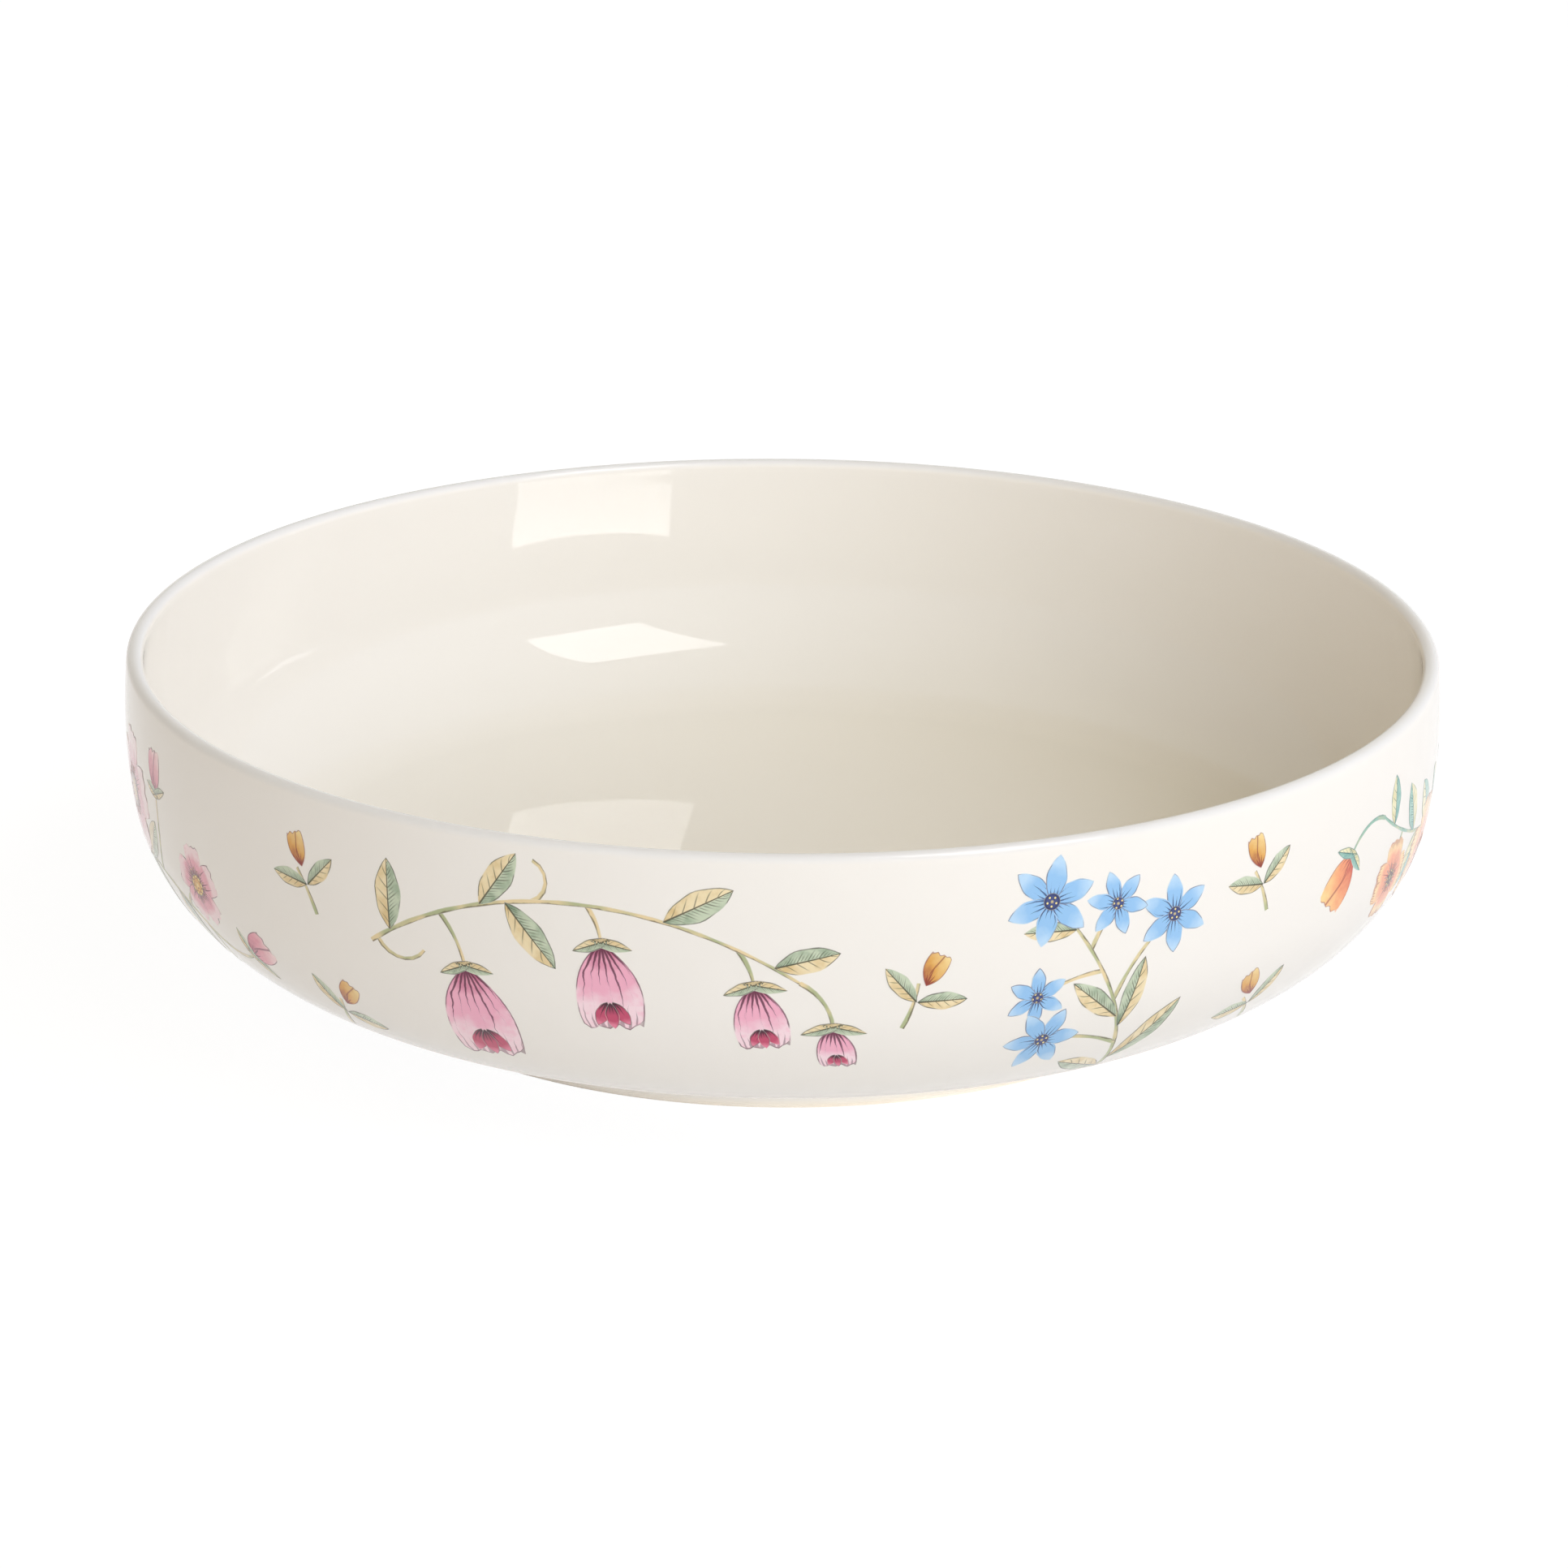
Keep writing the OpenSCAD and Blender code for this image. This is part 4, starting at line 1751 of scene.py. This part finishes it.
@dataclass(frozen=True)
class Studio:
    """Pale floor, soft light and the camera."""

    floor_r: float = 6.0
    floor_tone: float = 0.8
    floor_seen_tone: float = 0.14
    floor_seen_glow: float = 0.93
    shade: Light = (0.88, 0.83, 0.80)
    shade_reach: Flat = (0.100, 0.116)
    foot_level: float = 0.6
    foot_reach: Flat = (0.100, 0.108)
    foot_side: Flat = (-0.050, 0.036)
    foot_front: Flat = (-0.060, -0.030)
    key: Lamp = Lamp("soft_box", (0.59, -0.50, 0.92), (0.75, 0.60), 3.75, Shows.LIGHT)
    cloth: Lamp = Lamp("soft_box_cloth", (0.484, -0.436, 0.948), (0.45, 0.60), 2.8, Shows.GLOSS)
    echo: Lamp = Lamp("low_cloth", (0.610, -0.740, 0.635), (0.68, 0.24), 29.0, Shows.SECOND_GLOSS)
    pane: Lamp = Lamp("pane", (0.0919, -0.0596, 0.0472), (0.097, 0.0348), 0.22, Shows.SECOND_GLOSS)
    low: Band = Band(
        (2.40, 2.43, 2.58), (0.40, 0.40, 0.55), (1.47, 1.44, 1.41), (0.11, 0.02, 0.01)
    )
    middle: Band = Band((0.0, 0.0, 0.0), (2.11, 2.11, 2.27), (0.0, 0.0, 0.0), (0.46, 0.30, 0.04))
    zenith: Light = (0.265, 0.225, 0.09)
    low_top: Flat = (0.40, 0.54)
    zenith_foot: Flat = (0.74, 0.90)
    brightest: float = 2.6
    focal_mm: float = 87.96
    sensor_mm: float = 36.0
    distance: float = 0.8221
    elevation: float = 17.48
    pitch: float = 19.85
    yaw: float = -0.03
    roll: float = 0.447

    def build(self, rim_h: float) -> None:
        """Sets up the floor, the light, the surroundings and the camera.

        Args:
            rim_h: Height of the rim, in metres.
        """
        self.lay_floor()
        self.hang_lights(rim_h)
        self.light_world()
        self.place_camera(rim_h)
        bpy.context.scene.view_settings.view_transform = "Standard"

    def seen(self, graph: Graph) -> Value:
        """1 for rays from the camera and from glossy or clear surfaces.

        Args:
            graph: Node tree to write in.

        Returns:
            The share, 1 or 0.
        """
        path = graph.node("ShaderNodeLightPath", output="Is Camera Ray")
        outputs = path.socket.node.outputs
        glossy = Value(graph, outputs["Is Glossy Ray"])
        clear = Value(graph, outputs["Is Transmission Ray"])
        return path.most(glossy).most(clear)

    def lay_floor(self) -> None:
        """Makes a plain pale floor that keeps a soft shadow.

        Reflections show it a little darker and warmer round the foot, where the bowl shades it.
        """
        mesh = bmesh.new()
        bmesh.ops.create_circle(mesh, cap_ends=True, segments=96, radius=self.floor_r)
        floor = finish_mesh(mesh, "floor")
        made = bpy.data.materials.new("pale_floor")
        graph = Graph(made)
        plain, faint = (
            graph.node("ShaderNodeBsdfDiffuse", None, {"Color": (tone, tone, tone, 1)})
            for tone in (self.floor_tone, self.floor_seen_tone)
        )
        lit = graph.node("ShaderNodeAddShader", None, {0: plain, 1: self.foot_light(graph)})
        x, y, _ = graph.split(graph.node("ShaderNodeTexCoord", output="Object"))
        under = ((x * x + y * y) ** 0.5).fall(*self.shade_reach)
        camera = graph.node("ShaderNodeLightPath", output="Is Camera Ray")
        colour = graph.mix(under * (1 - camera), (1, 1, 1, 1), (*self.shade, 1))
        glowing = {"Color": colour, "Strength": self.floor_seen_glow}
        glow = graph.node("ShaderNodeEmission", None, glowing)
        pale = graph.node("ShaderNodeAddShader", None, {0: faint, 1: glow})
        mixed = graph.node("ShaderNodeMixShader", None, {0: self.seen(graph), 1: lit, 2: pale})
        graph.node("ShaderNodeOutputMaterial", None, {"Surface": mixed})
        floor.data.materials.append(made)

    def foot_light(self, graph: Graph) -> Value:
        """Light from the floor close to the front of the foot ring, which the wall hangs over.

        Args:
            graph: Node tree to write in.

        Returns:
            The shader of the light.
        """
        x, y, _ = graph.split(graph.node("ShaderNodeTexCoord", output="Object"))
        reach = (x * x + y * y) ** 0.5
        near = reach.fall(*self.foot_reach) * x.rise(*self.foot_side) * y.fall(*self.foot_front)
        colour = graph.mix(near, (0, 0, 0, 1), (1, 1, 1, 1))
        inputs = {"Color": colour, "Strength": self.foot_level}
        return graph.node("ShaderNodeEmission", None, inputs)

    def hang_lights(self, rim_h: float) -> None:
        """Hangs the soft box on the front right, and the bright cloths that only gloss shows.

        A cloth hangs a little nearer than the box, because a ray ends at the first of two lamps in
        one place. The pane is the box as the rounder floor of a deeper bowl would throw it back.

        Args:
            rim_h: Height of the rim, in metres.
        """
        for lamp in (self.key, self.cloth, self.echo, self.pane):
            data = bpy.data.lights.new(lamp.name, "AREA")
            data.shape = "RECTANGLE"
            data.size, data.size_y = lamp.size
            data.energy = lamp.power
            hung = bpy.data.objects.new(lamp.name, data)
            bpy.context.scene.collection.objects.link(hung)
            place = Vector(lamp.place)
            aim = Vector((0, 0, rim_h * 0.6)) - place
            turned = aim.to_track_quat("-Z", "Y").to_matrix().to_4x4()
            hung.matrix_world = Matrix.Translation(place) @ turned
            hung.visible_diffuse = lamp.shows is Shows.LIGHT
            hung.visible_glossy = not hung.visible_diffuse
            if hung.visible_glossy:
                self.limit_gloss(data, lamp.shows)

    def limit_gloss(self, data: bpy.types.Light, shows: Shows) -> None:
        """Lets a cloth show in its own reflection only, so that it lights nothing else.

        Args:
            data: Lamp of the cloth.
            shows: Where the cloth may show.
        """
        graph = Graph(data)
        path = graph.node("ShaderNodeLightPath", output="Diffuse Depth")
        glossy = Value(graph, path.socket.node.outputs["Glossy Depth"])
        second = glossy.rise(1.4, 1.6)
        shown = second if shows is Shows.SECOND_GLOSS else 1 - second
        strength = path.fall(0.4, 0.6) * shown
        glow = graph.node("ShaderNodeEmission", None, {"Strength": strength})
        graph.node("ShaderNodeOutputLight", None, {"Surface": glow})

    def light_world(self) -> None:
        """Fills the surroundings with light from two bands and from overhead.

        The camera and the glossy rays see the surroundings as white.
        """
        world = bpy.data.worlds.new("studio")
        bpy.context.scene.world = world
        graph = Graph(world)
        x, y, z = graph.split(graph.node("ShaderNodeTexCoord", output="Generated"))
        sideways = x * x / (x * x + y * y + 0.0001)
        parts = []
        for band in (self.middle, self.low):
            ends = graph.mix(y > 0.0, self.dimmed(band.front), self.dimmed(band.back))
            sides = graph.mix(x > 0.0, self.dimmed(band.left), self.dimmed(band.right))
            parts.append(graph.mix(sideways, ends, sides))
        level = graph.mix(z.fall(*self.low_top), *parts)
        colour = graph.mix(z.rise(*self.zenith_foot), level, self.dimmed(self.zenith))
        path = self.seen(graph)
        inputs = {
            "Color": graph.mix(path, colour, (1, 1, 1, 1)),
            "Strength": self.brightest + path * (1 - self.brightest),
        }
        shader = graph.node("ShaderNodeBackground", None, inputs)
        graph.node("ShaderNodeOutputWorld", None, {"Surface": shader})

    def dimmed(self, light: Light) -> Colour:
        """Light as a colour below 1, to be multiplied by the brightest level again."""
        red, green, blue = (part / self.brightest for part in light)
        return red, green, blue, 1.0

    def place_camera(self, rim_h: float) -> None:
        """Places the camera in front of the bowl, above its rim.

        Args:
            rim_h: Height of the rim, in metres.
        """
        data = bpy.data.cameras.new("camera")
        data.sensor_width = self.sensor_mm
        data.lens = self.focal_mm
        camera = bpy.data.objects.new("camera", data)
        bpy.context.scene.collection.objects.link(camera)
        rise = math.radians(self.elevation)
        place = Vector((0, -math.cos(rise), math.sin(rise))) * self.distance + Vector((0, 0, rim_h))
        look = (
            Matrix.Rotation(math.radians(self.yaw), 4, "Z")
            @ Matrix.Rotation(math.radians(90 - self.pitch), 4, "X")
            @ Matrix.Rotation(math.radians(self.roll), 4, "Z")
        )
        camera.matrix_world = Matrix.Translation(place) @ look
        bpy.context.scene.camera = camera


def main() -> None:
    """Builds the bowl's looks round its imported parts."""
    logging.basicConfig(level=logging.INFO, format="%(message)s")
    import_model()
    low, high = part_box("glaze_coat")
    profile = BowlProfile(round((high.x - low.x) / MM, 1), round(high.z / MM, 1))
    TurnedBowl(profile).build()
    for spray in (RoseSpray(), StarSpray(), BellSpray(), PoppySpray(), Sprigs()):
        spray.build(profile)
    Studio().build(high.z)
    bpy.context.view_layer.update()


if __name__ == "__main__":
    main()
